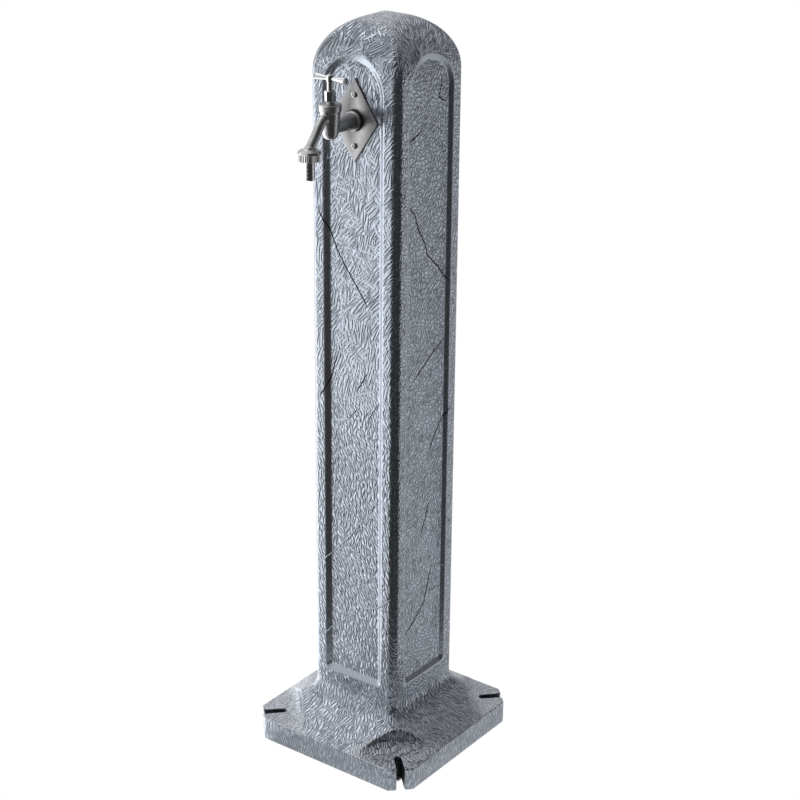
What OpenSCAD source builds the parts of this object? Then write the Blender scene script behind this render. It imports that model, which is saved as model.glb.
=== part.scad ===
// Garden standpipe: a hollow moulded post with a bib tap on its front face.
// The origin is the centre of the base on the ground, +Z is up, and the tap faces -Y.

/* [Post] */
// Height of the whole post
post_h = 1000; // [960:5:1060]
// Width of the square column
post_w = 137; // [134:1:142]
// Radius of the column's upright corners
post_corner_r = 14; // [10:1:18]
// Thickness of the moulded wall
wall_t = 4; // [3:0.5:4.5]

/* [Recessed panels] */
// Width of the plain margin on each side of a panel
panel_margin = 22; // [19.5:0.5:24.5]
// Depth of a panel below the face
panel_depth = 4.5; // [3.5:0.5:5.5]
// Width of the sloping border round a panel
panel_border = 7; // [5:0.5:9]
// Radius of a panel's lower corners at its floor
panel_corner_r = 1.5; // [1:0.5:5]
// Height of a panel's lower rim above the ground
panel_low = 106.5; // [98:0.5:115]
// Drop from the top of the post to the crown of a panel's arch
panel_crown_drop = 40.5; // [36:0.5:50]

/* [Base] */
// Width of the square base
base_w = 262; // [250:1:280]
// Height of the upright edge of the base
base_h = 32.5; // [28:0.5:38]
// Leg of the chamfer at each corner of the base
base_chamfer = 25; // [18:1:30]
// Radius that softens the ends of each chamfer
base_corner_r = 8; // [4:1:12]
// Radius of the hollow curve between column and skirt
flare_r = 26; // [20:1:32]
// Slope of the skirt above the horizontal, in degrees
flare_angle = 30.4; // [27:0.2:32]
// Radius of the four ridges of the skirt
hip_r = 4; // [2:0.5:8]

/* [Corner pads] */
// Length of a flat corner pad along each edge of the base
pad_reach = 88; // [80:1:92]
// Bow of the wall behind a pad, at its middle
pad_bow = 5; // [3:0.5:8]
// Lean of that wall away from the upright, in degrees
pad_draft = 8; // [5:1:12]
// Radius of the cove at the foot of that wall
pad_cove_r = 8; // [5:0.5:10]
// Width of a ground screw slot at its closed end
slot_w = 9; // [7:0.5:11]
// Width of a ground screw slot at its mouth
slot_mouth_w = 11; // [9:0.5:13]
// Distance of a slot's closed end, at its centre, from both edges of the base
slot_inset = 32; // [30:1:36]

/* [Tap plate] */
// Drop from the top of the post to the axis of the tap's inlet
tap_drop = 120; // [114:1:200]
// Width of the diamond plate
plate_w = 70; // [64:1:76]
// Height of the diamond plate
plate_h = 106; // [100:1:112]
// Thickness of the diamond plate
plate_t = 2; // [1.5:0.5:3]
// Corner radius of the diamond plate
plate_corner_r = 1.5; // [1:0.25:3]
// Distance between the two plate screws
screw_pitch = 64; // [60:1:66]
// Diameter of a plate screw
screw_d = 4.2; // [3.5:0.1:4.8]
// Length of a plate screw under its head
screw_l = 14; // [12:1:18]
// Diameter of a plate screw's pan head
screw_head_d = 8; // [7:0.5:9]
// Height of a plate screw's pan head
screw_head_h = 2.6; // [2:0.2:3]
// Diameter of the hole in the post behind the plate
cutout_d = 34; // [32:1:38]

/* [Tap body] */
// Distance from the plate's front to the barrel's axis
tap_reach = 46; // [40:1:60]
// Outer diameter of a G1/2 thread
shank_d = 20.9; // [20.5:0.1:21]
// Length of the threaded shank behind the plate's front
shank_l = 26; // [24:0.5:30]
// Bore of the tap's inlet
inlet_bore_d = 11; // [9:0.5:12]
// Diameter of the flange against the plate
flange_d = 24.5; // [23:0.5:27]
// Thickness of that flange
flange_t = 3.5; // [2.5:0.5:5]
// Thickness of the rubber seal behind that flange
seal_t = 1.5; // [1:0.5:2]
// How far the rubber seal shows beyond the flange
seal_rim = 1.2; // [0.6:0.1:1.6]
// Diameter of the inlet pipe beside the flange
neck_d = 22; // [20:0.5:23]
// Diameter of the inlet pipe where it meets the barrel
neck_end_d = 17; // [15:0.5:18]
// Diameter of the barrel at its collar
barrel_d = 27.5; // [26.5:0.5:30]
// Diameter of the barrel near its foot
barrel_foot_d = 20; // [19:0.5:22]
// Height of the barrel's collar rim above the inlet axis
barrel_rise = 30; // [29:0.5:34]
// Depth of the barrel's rounded foot below the inlet axis
barrel_drop = 13; // [12:0.5:16]
// Height of the collar
collar_h = 8; // [6:0.5:10]
// Thickness of the cast wall
cast_t = 3; // [2.5:0.25:3.5]

/* [Spout and hose union] */
// Distance from the barrel's axis to the outlet's axis
outlet_reach = 40; // [34:1:46]
// Outer diameter of the spout pipe
spout_d = 12; // [11:0.5:13]
// Bore of the spout pipe
spout_bore_d = 8; // [6:0.5:8.5]
// Depth of the outlet's end face below the inlet axis
outlet_drop = 24; // [22:0.5:28]
// Outer diameter of a G3/4 thread
outlet_thread_d = 26.4; // [26:0.1:26.5]
// Height of the threaded outlet
outlet_thread_h = 5.5; // [4.5:0.5:7]
// Outer diameter of the knurled union nut
union_nut_d = 30; // [29:0.5:33]
// Height of the union nut
union_nut_h = 11; // [10:0.5:13]
// Thickness of the union nut's floor
union_floor_t = 2; // [1.5:0.25:3]
// Number of grooves in the knurl
knurl_count = 36; // [24:2:48]
// Depth of a groove in the knurl
knurl_depth = 0.5; // [0.3:0.1:0.7]
// Thickness of the rubber washer in the union
tail_washer_t = 2.5; // [2:0.25:3]
// Diameter of the hose tail
tail_d = 13.2; // [12:0.2:14]
// Bore of the hose tail
tail_bore_d = 9; // [8:0.5:10]
// Length of the hose tail below the union nut
tail_l = 24; // [20:1:30]
// Thickness of the flange on top of the hose tail
tail_flange_t = 2; // [1.5:0.25:3]
// Depth of the ring grooves in the hose tail
tail_groove = 0.5; // [0.3:0.1:0.7]

/* [Valve] */
// Height of the valve seat above the inlet axis
seat_rise = 9; // [8.5:0.25:10]
// Bore of the valve seat
seat_d = 9; // [8:0.5:9.5]
// Height of the raised lip of the seat
seat_lip = 0.8; // [0.5:0.1:1.2]
// Lift of the valve from shut to fully open
valve_lift = 5; // [3:0.5:5]
// Diameter of the rubber valve washer
valve_washer_d = 12.4; // [12:0.2:13]
// Thickness of the rubber valve washer
valve_washer_t = 3; // [2.5:0.25:3.5]
// Thickness of the jumper's disc
jumper_t = 2; // [1.5:0.25:2.5]
// Diameter of the jumper's stem in the spindle
jumper_stem_d = 5; // [4:0.25:5.5]
// Length of the jumper's stem in the spindle
jumper_stem_l = 7; // [5:0.5:7.5]
// Diameter of the screw stub under the jumper
jumper_stub_d = 3; // [2.5:0.25:3.5]
// Width across flats of the nut under the valve washer
jumper_nut_af = 5.5; // [5:0.25:6]
// Height of the nut under the valve washer
jumper_nut_h = 2.4; // [2:0.2:3]

/* [Headgear and spindle] */
// Outer diameter of the headgear's thread
headgear_d = 18; // [17.5:0.25:18.5]
// Height of the water chamber between seat and headgear
chamber_h = 9; // [8.5:0.5:10]
// Thickness of the headgear's flange
headgear_flange_t = 2.6; // [2:0.2:3]
// Thickness of the fibre washer under that flange
headgear_washer_t = 1; // [0.8:0.1:1.5]
// Diameter of the spindle's threaded end
spindle_thread_d = 12; // [11:0.25:12.5]
// Length of the spindle's threaded end
spindle_thread_l = 8; // [7.5:0.5:8.5]
// Diameter of the spindle's stem
spindle_d = 7.6; // [7:0.1:7.8]
// Width across flats of the gland nut
gland_af = 12; // [11.8:0.2:14]
// Height of the gland nut
gland_h = 13; // [11:0.5:13]
// Thickness of the gland nut's top
gland_top_t = 2.5; // [2:0.25:3]
// Height of the packing in the gland nut
packing_h = 3.5; // [2.5:0.5:4]
// Gap between the headgear's flange and the gland nut
gland_gap = 2.4; // [1.5:0.1:4]
// Bare length of spindle between gland nut and handle
spindle_bare = 10; // [8:0.5:14]

/* [Handle] */
// Length of the handle's bar
handle_l = 48; // [44:1:54]
// Diameter of the bar's flared ends
handle_end_d = 8; // [7:0.25:9]
// Diameter of the bar beside the hub
handle_waist_d = 4.6; // [4:0.2:5.4]
// Diameter of the hub
hub_d = 9; // [8.6:0.2:11]
// Height of the hub
hub_h = 9; // [8:0.5:11]
// Width of the square end of the spindle
square_w = 4.8; // [4.4:0.2:5]
// Thickness of the hub above the spindle's square end
hub_roof_t = 2; // [1.5:0.25:2.5]
// Diameter of the handle screw
handle_screw_d = 2.6; // [2.2:0.2:3]

/* [Water supply] */
// Height of the rear inlet above the ground
inlet_z = 150; // [140:1:165]
// Bore of the supply hose
hose_bore_d = 12.5; // [11:0.5:13]
// Wall of the supply hose
hose_wall_t = 2.5; // [2:0.25:3]
// Thickness of a hose clamp's band
clamp_t = 0.8; // [0.6:0.1:1.2]
// Width of a hose clamp's band
clamp_w = 9; // [7:0.5:12]
// Length of a hose barb
barb_l = 26; // [22:1:30]
// Outer diameter of the socket on the wall elbow
socket_d = 26; // [25:0.5:28]
// Width across flats of the locknuts
locknut_af = 27; // [26:0.5:28]
// Thickness of the locknuts
locknut_t = 5; // [4:0.5:6]
// Diameter of the flange on the inlet elbow
inlet_flange_d = 29; // [27:0.5:32]
// Thickness of the flange on the inlet elbow
inlet_flange_t = 3; // [2:0.5:4]
// Thickness of the rubber seal outside the rear wall
inlet_seal_t = 2; // [1.5:0.25:2.5]
// Length of the hexagon on the hose nipple
nipple_hex_h = 12; // [10:0.5:14]
// Diameter of the hose nipple
nipple_d = 15; // [14:0.25:16]
// Length of the hose nipple
nipple_l = 21; // [18:0.5:24]
// Thickness of the O-ring on the hose nipple
oring_t = 2.4; // [2:0.1:2.6]
// Height of the O-ring above its groove
oring_stand = 0.15; // [0.1:0.05:0.25]

/* [Fits] */
// Radial play between a shaft and its hole
play = 0.05; // [0.02:0.01:0.1]
// Smallest edge break on turned pieces
edge_break = 0.6; // [0.4:0.1:0.8]

/* [Hidden] */
$fn = 64;

// Overrun of every cut past the surface it goes through
over = 1;
// Facets in each round corner of an outline
arc_steps = 6;
diag = sqrt(2);
hex_share = 1 / cos(30);

// Post
half_post = post_w / 2;
half_base = base_w / 2;
spring_z = post_h - half_post;
panel_w = post_w - 2 * panel_margin;
arch_z = post_h - panel_crown_drop - panel_w / 2;
tap_z = post_h - tap_drop;
panel_slope = panel_border / panel_depth;
panel_floor = half_post - panel_depth;
vault_steps = 16;

// Skirt: a straight slope from the edge of the base and a hollow curve up to the column
flare_meet_z = base_h + (half_base - half_post) * tan(flare_angle);
flare_top_z = flare_meet_z + flare_r / tan((90 + flare_angle) / 2);
flare_turn = 90 - flare_angle;
flare_steps = 10;

// Corner pads
pad_chord = (base_w - pad_reach) / diag;
pad_half_chord = pad_reach / diag;
pad_r = (pad_half_chord * pad_half_chord + pad_bow * pad_bow) / (2 * pad_bow);
pad_axis = pad_chord - pad_bow + pad_r;
pad_cove_run = pad_cove_r / tan((90 + pad_draft) / 2);
pad_cut_h = flare_top_z + over - base_h;
slot_axis = (half_base - slot_inset) * diag;
slot_mouth = (base_w - base_chamfer) / diag;

// Tap, seen from the side: y grows towards the inside of the post
plate_back_y = -panel_floor;
plate_y = plate_back_y - plate_t;
barrel_y = plate_y - tap_reach;
outlet_y = barrel_y - outlet_reach;
shank_end_y = plate_y + shank_l;
flange_back_y = plate_y - seal_t;
shank_bore_d = shank_d + 2 * play;
inner_wall_y = panel_floor - wall_t;

// Levels of the barrel, above the inlet axis
headgear_foot = seat_rise + chamber_h;
headgear_seat = barrel_rise - headgear_washer_t - headgear_flange_t + edge_break;
headgear_top = headgear_seat + headgear_washer_t + headgear_flange_t;
headgear_flange_d = barrel_d - 2 * cast_t;
chamber_d = headgear_d + 2 * play;
lower_chamber_d = barrel_foot_d - 2 * cast_t - edge_break;
lower_chamber_foot = -barrel_drop + cast_t;
gland_foot = headgear_top + gland_gap;
gland_roof = gland_foot + gland_h;
packing_roof = gland_roof - gland_top_t;
packing_foot = packing_roof - packing_h;
spindle_bore_d = spindle_d + 2 * play;
gland_neck_d = (spindle_d + gland_af) / 2 + play;
handle_foot = gland_roof + spindle_bare;
handle_axis = handle_foot + hub_h / 2;
handle_top = handle_foot + hub_h;
square_top = handle_top - hub_roof_t;
handle_screw_l = hub_roof_t + hub_h;
handle_screw_head_d = 2 * handle_screw_d;
handle_screw_head_h = handle_screw_d / 2;

// Levels of the valve, above the inlet axis
jumper_foot = seat_rise + valve_washer_t;
jumper_top = jumper_foot + jumper_t;
spindle_foot = jumper_top + play;
spindle_thread_top = spindle_foot + spindle_thread_l;
spindle_pocket = spindle_thread_top + valve_lift + play;
jumper_stub_foot = seat_rise - jumper_nut_h - edge_break;

// Spout and union, levels above the inlet axis
spout_root_rise = seat_rise + chamber_h / 2 + edge_break;
spout_root_y = barrel_d / 2 - cast_t / 2;
outlet_top = -outlet_drop + outlet_thread_h;
outlet_bore_d = outlet_thread_d - 4 * cast_t;
tail_flange_top = -outlet_drop - tail_washer_t;
tail_flange_foot = tail_flange_top - tail_flange_t;
union_cavity = tail_flange_foot - play;
union_foot = union_cavity - union_floor_t;
union_roof = union_foot + union_nut_h;
tail_foot = union_foot - tail_l;
tail_flange_d = outlet_thread_d - 2 * tail_flange_t;
tail_grooves = 4;
tail_neck_d = tail_d - 2 * edge_break;

// Supply inside the post
hose_d = hose_bore_d + 2 * hose_wall_t;
barb_d = hose_bore_d - 2 * play;
barb_bore_d = barb_d - 1.5 * cast_t;
leg_d = hose_d + clamp_t;
socket_y = plate_back_y + locknut_t + edge_break;
socket_end_y = shank_end_y + cast_t;
riser_y = socket_end_y + leg_d / 2;
wall_leg_foot = -socket_d / 2 - edge_break;
hose_top_z = tap_z + wall_leg_foot - play;
inlet_leg_top = leg_d / 2 + edge_break;
hose_foot_z = inlet_z + inlet_leg_top + play;
clamp_inset = (barb_l - clamp_w) / 2;
inlet_locknut_y = panel_floor + inlet_seal_t;
nipple_y = inlet_locknut_y + locknut_t;
inlet_shank_end_y = nipple_y + nipple_hex_h - cast_t;
oring_y = nipple_y + nipple_hex_h + nipple_l / 2;

// General helpers

function mirrored(points) = concat(points,
    [for (i = [len(points) - 1 : -1 : 0]) if (points[i].x > 0) [-points[i].x, points[i].y]]);

// Outline at distance r round a convex outline that runs anticlockwise, with round corners
function side_angle(core, i) = let(p = core[i], q = core[(i + 1) % len(core)])
    atan2(p.x - q.x, q.y - p.y);

module softened(core, r) {
    count = len(core);
    polygon([for (i = [0 : count - 1], j = [0 : arc_steps])
        let(a = side_angle(core, (i + count - 1) % count),
            turn = (side_angle(core, i) - a + 360) % 360,
            b = a + turn * j / arc_steps)
        core[i] + r * [cos(b), sin(b)]]);
}

module rod_y(d, y0, y1, z = 0) {
    translate([0, y0, z]) rotate([-90, 0, 0]) cylinder(d = d, h = y1 - y0);
}

module cone_y(d0, d1, y0, y1) {
    translate([0, y0, 0]) rotate([-90, 0, 0]) cylinder(d1 = d0, d2 = d1, h = y1 - y0);
}

module tube(d, bore, z0, z1) {
    translate([0, 0, z0]) difference() {
        cylinder(d = d, h = z1 - z0);
        translate([0, 0, -over]) cylinder(d = bore, h = z1 - z0 + 2 * over);
    }
}

module hexagon(af, z0, z1) {
    translate([0, 0, z0]) cylinder(d = af * hex_share, h = z1 - z0, $fn = 6);
}

module at_inlet() translate([0, 0, tap_z]) children();
module at_barrel() translate([0, barrel_y, tap_z]) children();
module at_outlet() translate([0, outlet_y, tap_z]) children();
module at_rear() translate([0, 0, inlet_z]) children();
module at_riser() translate([0, riser_y, 0]) children();
module four_sides() for (a = [0 : 90 : 270]) rotate([0, 0, a]) children();
module four_corners() for (a = [45 : 90 : 315]) rotate([0, 0, a]) children();

// Post shell: every outer form takes the depth g of the surface below the outside

module profile_wall(points, length) {
    rotate([90, 0, 0]) linear_extrude(height = length, center = true) polygon(mirrored(points));
}

// Half outline of a barrel vault over the column, or of its softened ridge
function vault_points(half, rise) = concat([[half, -over]],
    [for (i = [0 : vault_steps]) let(a = 90 * i / vault_steps)
        [half * cos(a), spring_z + rise * sin(a)]]);

module column(g) {
    half = half_post - g;
    corner = post_corner_r - g;
    ridge_share = diag - (diag - 1) * post_corner_r / half_post;
    intersection() {
        union() {
            for (s = [[half, half - corner], [half - corner, half]])
                translate([-s.x, -s.y, -over]) cube([2 * s.x, 2 * s.y, post_h + 2 * over]);
            for (x = [corner - half, half - corner], y = [corner - half, half - corner])
                translate([x, y, -over]) cylinder(r = corner, h = post_h + 2 * over);
        }
        intersection_for (a = [0, 90])
            rotate([0, 0, a]) profile_wall(vault_points(half, half), 2 * post_w);
        intersection_for (a = [45, 135])
            rotate([0, 0, a]) profile_wall(vault_points(half * ridge_share, half), 2 * post_w);
    }
}

// Half outline of the skirt and the base's upright edge
function flare_arc(g) = [for (i = [0 : flare_steps]) let(a = 270 - flare_angle - flare_turn * i / flare_steps)
    [half_post + flare_r + (flare_r + g) * cos(a), flare_top_z + (flare_r + g) * sin(a)]];

function flare_points(g) = concat(
    [[half_base - g, -over],
        [half_base - g, base_h + g * tan(flare_angle) - g / cos(flare_angle)]],
    flare_arc(g));

// Half outline across the corners, where the skirt's ridges are softened
function hip_points(g) = concat([[base_w, -over], [base_w, base_h]],
    [for (i = [0 : flare_steps]) let(p = flare_arc(g)[i], r = hip_r + (post_corner_r - hip_r) * i / flare_steps)
        [diag * p.x - (diag - 1) * r, p.y]]);

function plan_octagon(g) = let(h = half_base - g, k = h - base_chamfer + (2 - diag) * g)
    [[h, k], [k, h], [-k, h], [-h, k], [-h, -k], [-k, -h], [k, -h], [h, -k]];

module base_plan(g) softened(plan_octagon(g + base_corner_r), base_corner_r);

module pad_cut(g) {
    reach = pad_r - pad_cove_run;
    lean = tan(pad_draft);
    arc = [for (i = [0 : 6]) let(a = -90 + (90 - pad_draft) * i / 6)
        [reach + (pad_cove_r + g) * cos(a), base_h + pad_cove_r + (pad_cove_r + g) * sin(a)]];
    top = [pad_r + pad_cut_h * lean + g / cos(pad_draft), base_h + pad_cut_h];
    translate([pad_axis, 0, 0]) rotate_extrude($fn = 4 * $fn)
        polygon(concat([[0, base_h - g]], arc, [top, [0, top.y]]));
}

module slot(g) {
    translate([slot_axis, 0, -over]) cylinder(d = slot_w + 2 * g, h = base_h + 2 * over);
    translate([0, 0, -over]) linear_extrude(height = base_h + 2 * over)
        polygon([[slot_axis, -slot_w / 2 - g], [slot_mouth + over, -slot_mouth_w / 2 - g],
            [slot_mouth + over, slot_mouth_w / 2 + g], [slot_axis, slot_w / 2 + g]]);
}

module base_form(g) {
    difference() {
        intersection() {
            translate([0, 0, -over]) linear_extrude(height = flare_top_z + over) base_plan(g);
            intersection_for (a = [0, 90])
                rotate([0, 0, a]) profile_wall(flare_points(g), 2 * base_w);
            intersection_for (a = [45, 135])
                rotate([0, 0, a]) profile_wall(hip_points(g), 2 * base_w);
        }
        four_corners() pad_cut(g);
    }
}

// A recessed panel on the front face; g thickens it towards the inside
module pocket(g) {
    grow = g * sqrt(1 + panel_slope * panel_slope);
    depth = panel_depth + g;
    corner = panel_corner_r + panel_border;
    centre_x = panel_w / 2 - corner;
    centre_z = panel_low + corner;
    rim_y = -half_post - over;
    floor_y = -half_post + depth;
    spread = over * panel_slope;
    sink = depth * panel_slope;
    rim = panel_w / 2 + grow;
    rim_r = corner + grow;
    translate([0, 0, centre_z]) linear_extrude(height = arch_z - centre_z)
        polygon([[-rim - spread, rim_y], [rim + spread, rim_y],
            [rim - sink, floor_y], [sink - rim, floor_y]]);
    rotate([90, 0, 90]) linear_extrude(height = 2 * centre_x, center = true)
        polygon([[rim_y, centre_z - rim_r - spread], [floor_y, centre_z - rim_r + sink],
            [floor_y, centre_z], [rim_y, centre_z]]);
    for (x = [-centre_x, centre_x]) translate([x, 0, centre_z])
        cone_y(2 * (rim_r + spread), 2 * (rim_r - sink), rim_y, floor_y);
    translate([0, 0, arch_z]) cone_y(2 * (rim + spread), 2 * (rim - sink), rim_y, floor_y);
}

module screw_places() for (s = [-1, 1]) at_inlet() translate([0, 0, s * screw_pitch / 2]) children();

module post_shell() color("lightslategray") {
    boss_y = plate_y + screw_l + edge_break;
    difference() {
        union() {
            difference() {
                union() {
                    base_form(0);
                    column(0);
                }
                four_sides() pocket(0);
                four_corners() slot(0);
                difference() {
                    base_form(wall_t);
                    four_corners() slot(wall_t);
                }
                difference() {
                    column(wall_t);
                    four_sides() pocket(wall_t);
                }
            }
            screw_places() rod_y(2.4 * screw_d, -inner_wall_y - wall_t / 2, boss_y);
        }
        translate([0, 0, -2 * over]) linear_extrude(height = 2 * over) square(2 * base_w, center = true);
        at_inlet() rod_y(cutout_d, -half_post, -inner_wall_y + over);
        screw_places() rod_y(screw_d + 2 * play, -half_post, boss_y + over);
        at_rear() rod_y(shank_bore_d, inner_wall_y - over, half_post);
    }
}

// Tap plate and what fixes it

module tap_plate() color("gainsboro") at_inlet() {
    slant = plate_corner_r * norm([plate_w, plate_h]);
    x = plate_w / 2 - slant / plate_h;
    z = plate_h / 2 - slant / plate_w;
    difference() {
        rotate([90, 0, 0]) translate([0, 0, -plate_back_y]) linear_extrude(height = plate_t)
            softened([[x, 0], [0, z], [-x, 0], [0, -z]], plate_corner_r);
        rod_y(shank_bore_d, plate_y - over, plate_back_y + over);
        for (s = [-1, 1])
            rod_y(screw_d + 2 * play, plate_y - over, plate_back_y + over, s * screw_pitch / 2);
    }
}

module plate_screws() color("silver") screw_places() {
    head_y = plate_y - screw_head_h;
    difference() {
        union() {
            cone_y(screw_head_d - 2 * edge_break, screw_head_d, head_y, head_y + edge_break);
            rod_y(screw_head_d, head_y + edge_break, plate_y);
            rod_y(screw_d, plate_y, plate_y + screw_l);
        }
        for (a = [0, 90]) rotate([0, a, 0])
            translate([-screw_head_d / 4, head_y - over, -edge_break / 2])
                cube([screw_head_d / 2, over + screw_head_h / 2, edge_break]);
    }
}

module tap_seal() color("black") at_inlet() difference() {
    rod_y(flange_d + 2 * seal_rim, flange_back_y, plate_y);
    rod_y(shank_bore_d, flange_back_y - over, plate_y + over);
}

module tap_locknut() color("goldenrod") at_inlet() difference() {
    rotate([90, 0, 0]) hexagon(locknut_af, -plate_back_y - locknut_t, -plate_back_y);
    rod_y(shank_bore_d, plate_back_y - over, plate_back_y + locknut_t + over);
}

// Tap body: inlet pipe, barrel, spout and threaded outlet in one casting

module barrel_outside() {
    foot_r = barrel_foot_d / 2;
    rim_r = barrel_d / 2;
    shoulder = barrel_rise - collar_h;
    rotate_extrude() polygon([[0, -barrel_drop], [foot_r - 2 * cast_t, -barrel_drop],
        [foot_r - cast_t, edge_break - barrel_drop], [foot_r - edge_break, cast_t - barrel_drop],
        [foot_r, 2 * cast_t - barrel_drop], [rim_r - cast_t / 2, shoulder - cast_t],
        [rim_r, shoulder], [rim_r, barrel_rise - edge_break],
        [rim_r - edge_break, barrel_rise], [0, barrel_rise]]);
}

module spout_pipe(d, over_end = 0) {
    run = outlet_reach - spout_root_y;
    fall = spout_root_rise - outlet_top;
    tilt = atan2(run, fall);
    translate([0, -spout_root_y, spout_root_rise]) rotate([180 - tilt, 0, 0]) {
        cylinder(d = d, h = norm([run, fall]) + over_end);
        sphere(d = d);
    }
}

module tap_body() color("silver") difference() {
    union() {
        at_inlet() {
            rod_y(shank_d, flange_back_y, shank_end_y);
            rod_y(flange_d, flange_back_y - flange_t, flange_back_y);
            cone_y(neck_end_d, neck_d, barrel_y, flange_back_y - flange_t);
        }
        at_barrel() {
            barrel_outside();
            spout_pipe(spout_d);
        }
        at_outlet() {
            translate([0, 0, -outlet_drop]) cylinder(d = outlet_thread_d, h = outlet_thread_h);
            translate([0, 0, outlet_top])
                cylinder(d1 = outlet_thread_d - 2 * edge_break, d2 = spout_d, h = cast_t);
        }
    }
    at_inlet() rod_y(inlet_bore_d, barrel_y, shank_end_y + over);
    at_barrel() {
        translate([0, 0, lower_chamber_foot])
            cylinder(d = lower_chamber_d, h = seat_rise - cast_t - lower_chamber_foot);
        cylinder(d = seat_d, h = seat_rise + over);
        difference() {
            translate([0, 0, seat_rise - seat_lip]) cylinder(d = chamber_d, h = barrel_rise);
            tube(seat_d + cast_t, seat_d, seat_rise - seat_lip - over, seat_rise);
        }
        translate([0, 0, headgear_seat])
            cylinder(d = headgear_flange_d + 2 * play, h = barrel_rise);
        translate([0, -spout_root_y, 0]) rod_y(spout_bore_d, 0, spout_root_y, spout_root_rise);
        spout_pipe(spout_bore_d);
    }
    at_outlet() translate([0, 0, -outlet_drop - over])
        cylinder(d = outlet_bore_d, h = outlet_thread_h + over);
}

// Headgear, gland and spindle

module headgear_washer() color("firebrick") at_barrel()
    tube(headgear_flange_d, chamber_d, headgear_seat, headgear_seat + headgear_washer_t);

module headgear() color("goldenrod") at_barrel() difference() {
    union() {
        translate([0, 0, headgear_foot])
            cylinder(d = headgear_d, h = headgear_top - headgear_foot - edge_break);
        translate([0, 0, headgear_seat + headgear_washer_t])
            cylinder(d = headgear_flange_d, h = headgear_flange_t);
        translate([0, 0, headgear_top])
            cylinder(d = gland_neck_d, h = packing_foot - headgear_top);
    }
    translate([0, 0, headgear_foot - over])
        cylinder(d = spindle_thread_d + 2 * play, h = spindle_pocket - headgear_foot + over);
    translate([0, 0, headgear_foot]) cylinder(d = spindle_bore_d, h = packing_foot);
}

module gland_packing() color("dimgray") at_barrel()
    tube(gland_neck_d, spindle_bore_d, packing_foot, packing_roof);

module gland_nut() color("silver") at_barrel() difference() {
    hexagon(gland_af, gland_foot, gland_roof);
    translate([0, 0, gland_foot - over])
        cylinder(d = gland_neck_d + 2 * play, h = packing_roof - gland_foot + over);
    translate([0, 0, gland_foot]) cylinder(d = spindle_bore_d, h = gland_h + over);
}

module spindle() color("silver") at_barrel() difference() {
    union() {
        translate([0, 0, spindle_foot]) cylinder(d = spindle_thread_d, h = spindle_thread_l);
        translate([0, 0, spindle_foot]) cylinder(d = spindle_d, h = handle_foot - spindle_foot);
        translate([-square_w / 2, -square_w / 2, spindle_foot])
            cube([square_w, square_w, square_top - spindle_foot]);
    }
    translate([0, 0, spindle_foot - over])
        cylinder(d = jumper_stem_d + 2 * play, h = jumper_stem_l + over);
    translate([0, 0, handle_top - handle_screw_l - play])
        cylinder(d = handle_screw_d + 2 * play, h = handle_screw_l);
}

// Valve: jumper, rubber washer and the nut that holds it

module jumper() color("goldenrod") at_barrel() {
    translate([0, 0, jumper_foot]) cylinder(d = valve_washer_d - edge_break, h = jumper_t);
    translate([0, 0, jumper_top]) cylinder(d = jumper_stem_d, h = jumper_stem_l - edge_break);
    translate([0, 0, jumper_stub_foot])
        cylinder(d = jumper_stub_d, h = jumper_foot - jumper_stub_foot);
}

module valve_washer() color("black") at_barrel()
    tube(valve_washer_d, jumper_stub_d + 2 * play, seat_rise, jumper_foot);

module jumper_nut() color("goldenrod") at_barrel() difference() {
    hexagon(jumper_nut_af, seat_rise - jumper_nut_h, seat_rise);
    translate([0, 0, seat_rise - jumper_nut_h - over])
        cylinder(d = jumper_stub_d + 2 * play, h = jumper_nut_h + 2 * over);
}

// Handle

module bar_half() {
    waist = handle_waist_d / 2;
    end = handle_end_d / 2;
    neck = hub_d / 2;
    arm = handle_l / 2;
    swell = [for (i = [0 : 8]) let(t = i / 8)
        [waist + (end - waist) * t * t, neck + (arm - edge_break - neck) * t]];
    rotate([0, 90, 0]) rotate_extrude()
        polygon(concat([[0, 0], [waist, 0]], swell, [[end - edge_break, arm], [0, arm]]));
}

module t_handle() color("gainsboro") at_barrel() difference() {
    union() {
        translate([0, 0, handle_foot]) cylinder(d1 = hub_d - edge_break, d2 = hub_d, h = edge_break);
        translate([0, 0, handle_foot + edge_break])
            cylinder(d = hub_d, h = hub_h - 2 * edge_break);
        translate([0, 0, handle_top - edge_break])
            cylinder(d1 = hub_d, d2 = hub_d - 2 * edge_break, h = edge_break);
        translate([0, 0, handle_axis]) for (a = [0, 180]) rotate([0, 0, a]) bar_half();
    }
    translate([-square_w / 2 - play, -square_w / 2 - play, handle_foot - over])
        cube([square_w + 2 * play, square_w + 2 * play, square_top - handle_foot + over + play]);
    translate([0, 0, handle_foot]) cylinder(d = handle_screw_d + 2 * play, h = hub_h + over);
}

module handle_screw() color("silver") at_barrel() difference() {
    union() {
        translate([0, 0, handle_top - handle_screw_l])
            cylinder(d = handle_screw_d, h = handle_screw_l);
        translate([0, 0, handle_top])
            cylinder(d1 = handle_screw_head_d, d2 = handle_screw_d, h = handle_screw_head_h);
    }
    translate([-handle_screw_head_d, -edge_break / 2, handle_top + handle_screw_head_h / 2])
        cube([2 * handle_screw_head_d, edge_break, handle_screw_head_h]);
}

// Hose union: rubber washer, hose tail and knurled nut

module tail_washer() color("black") at_outlet()
    tube(tail_flange_d, tail_bore_d, tail_flange_top, -outlet_drop);

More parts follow.
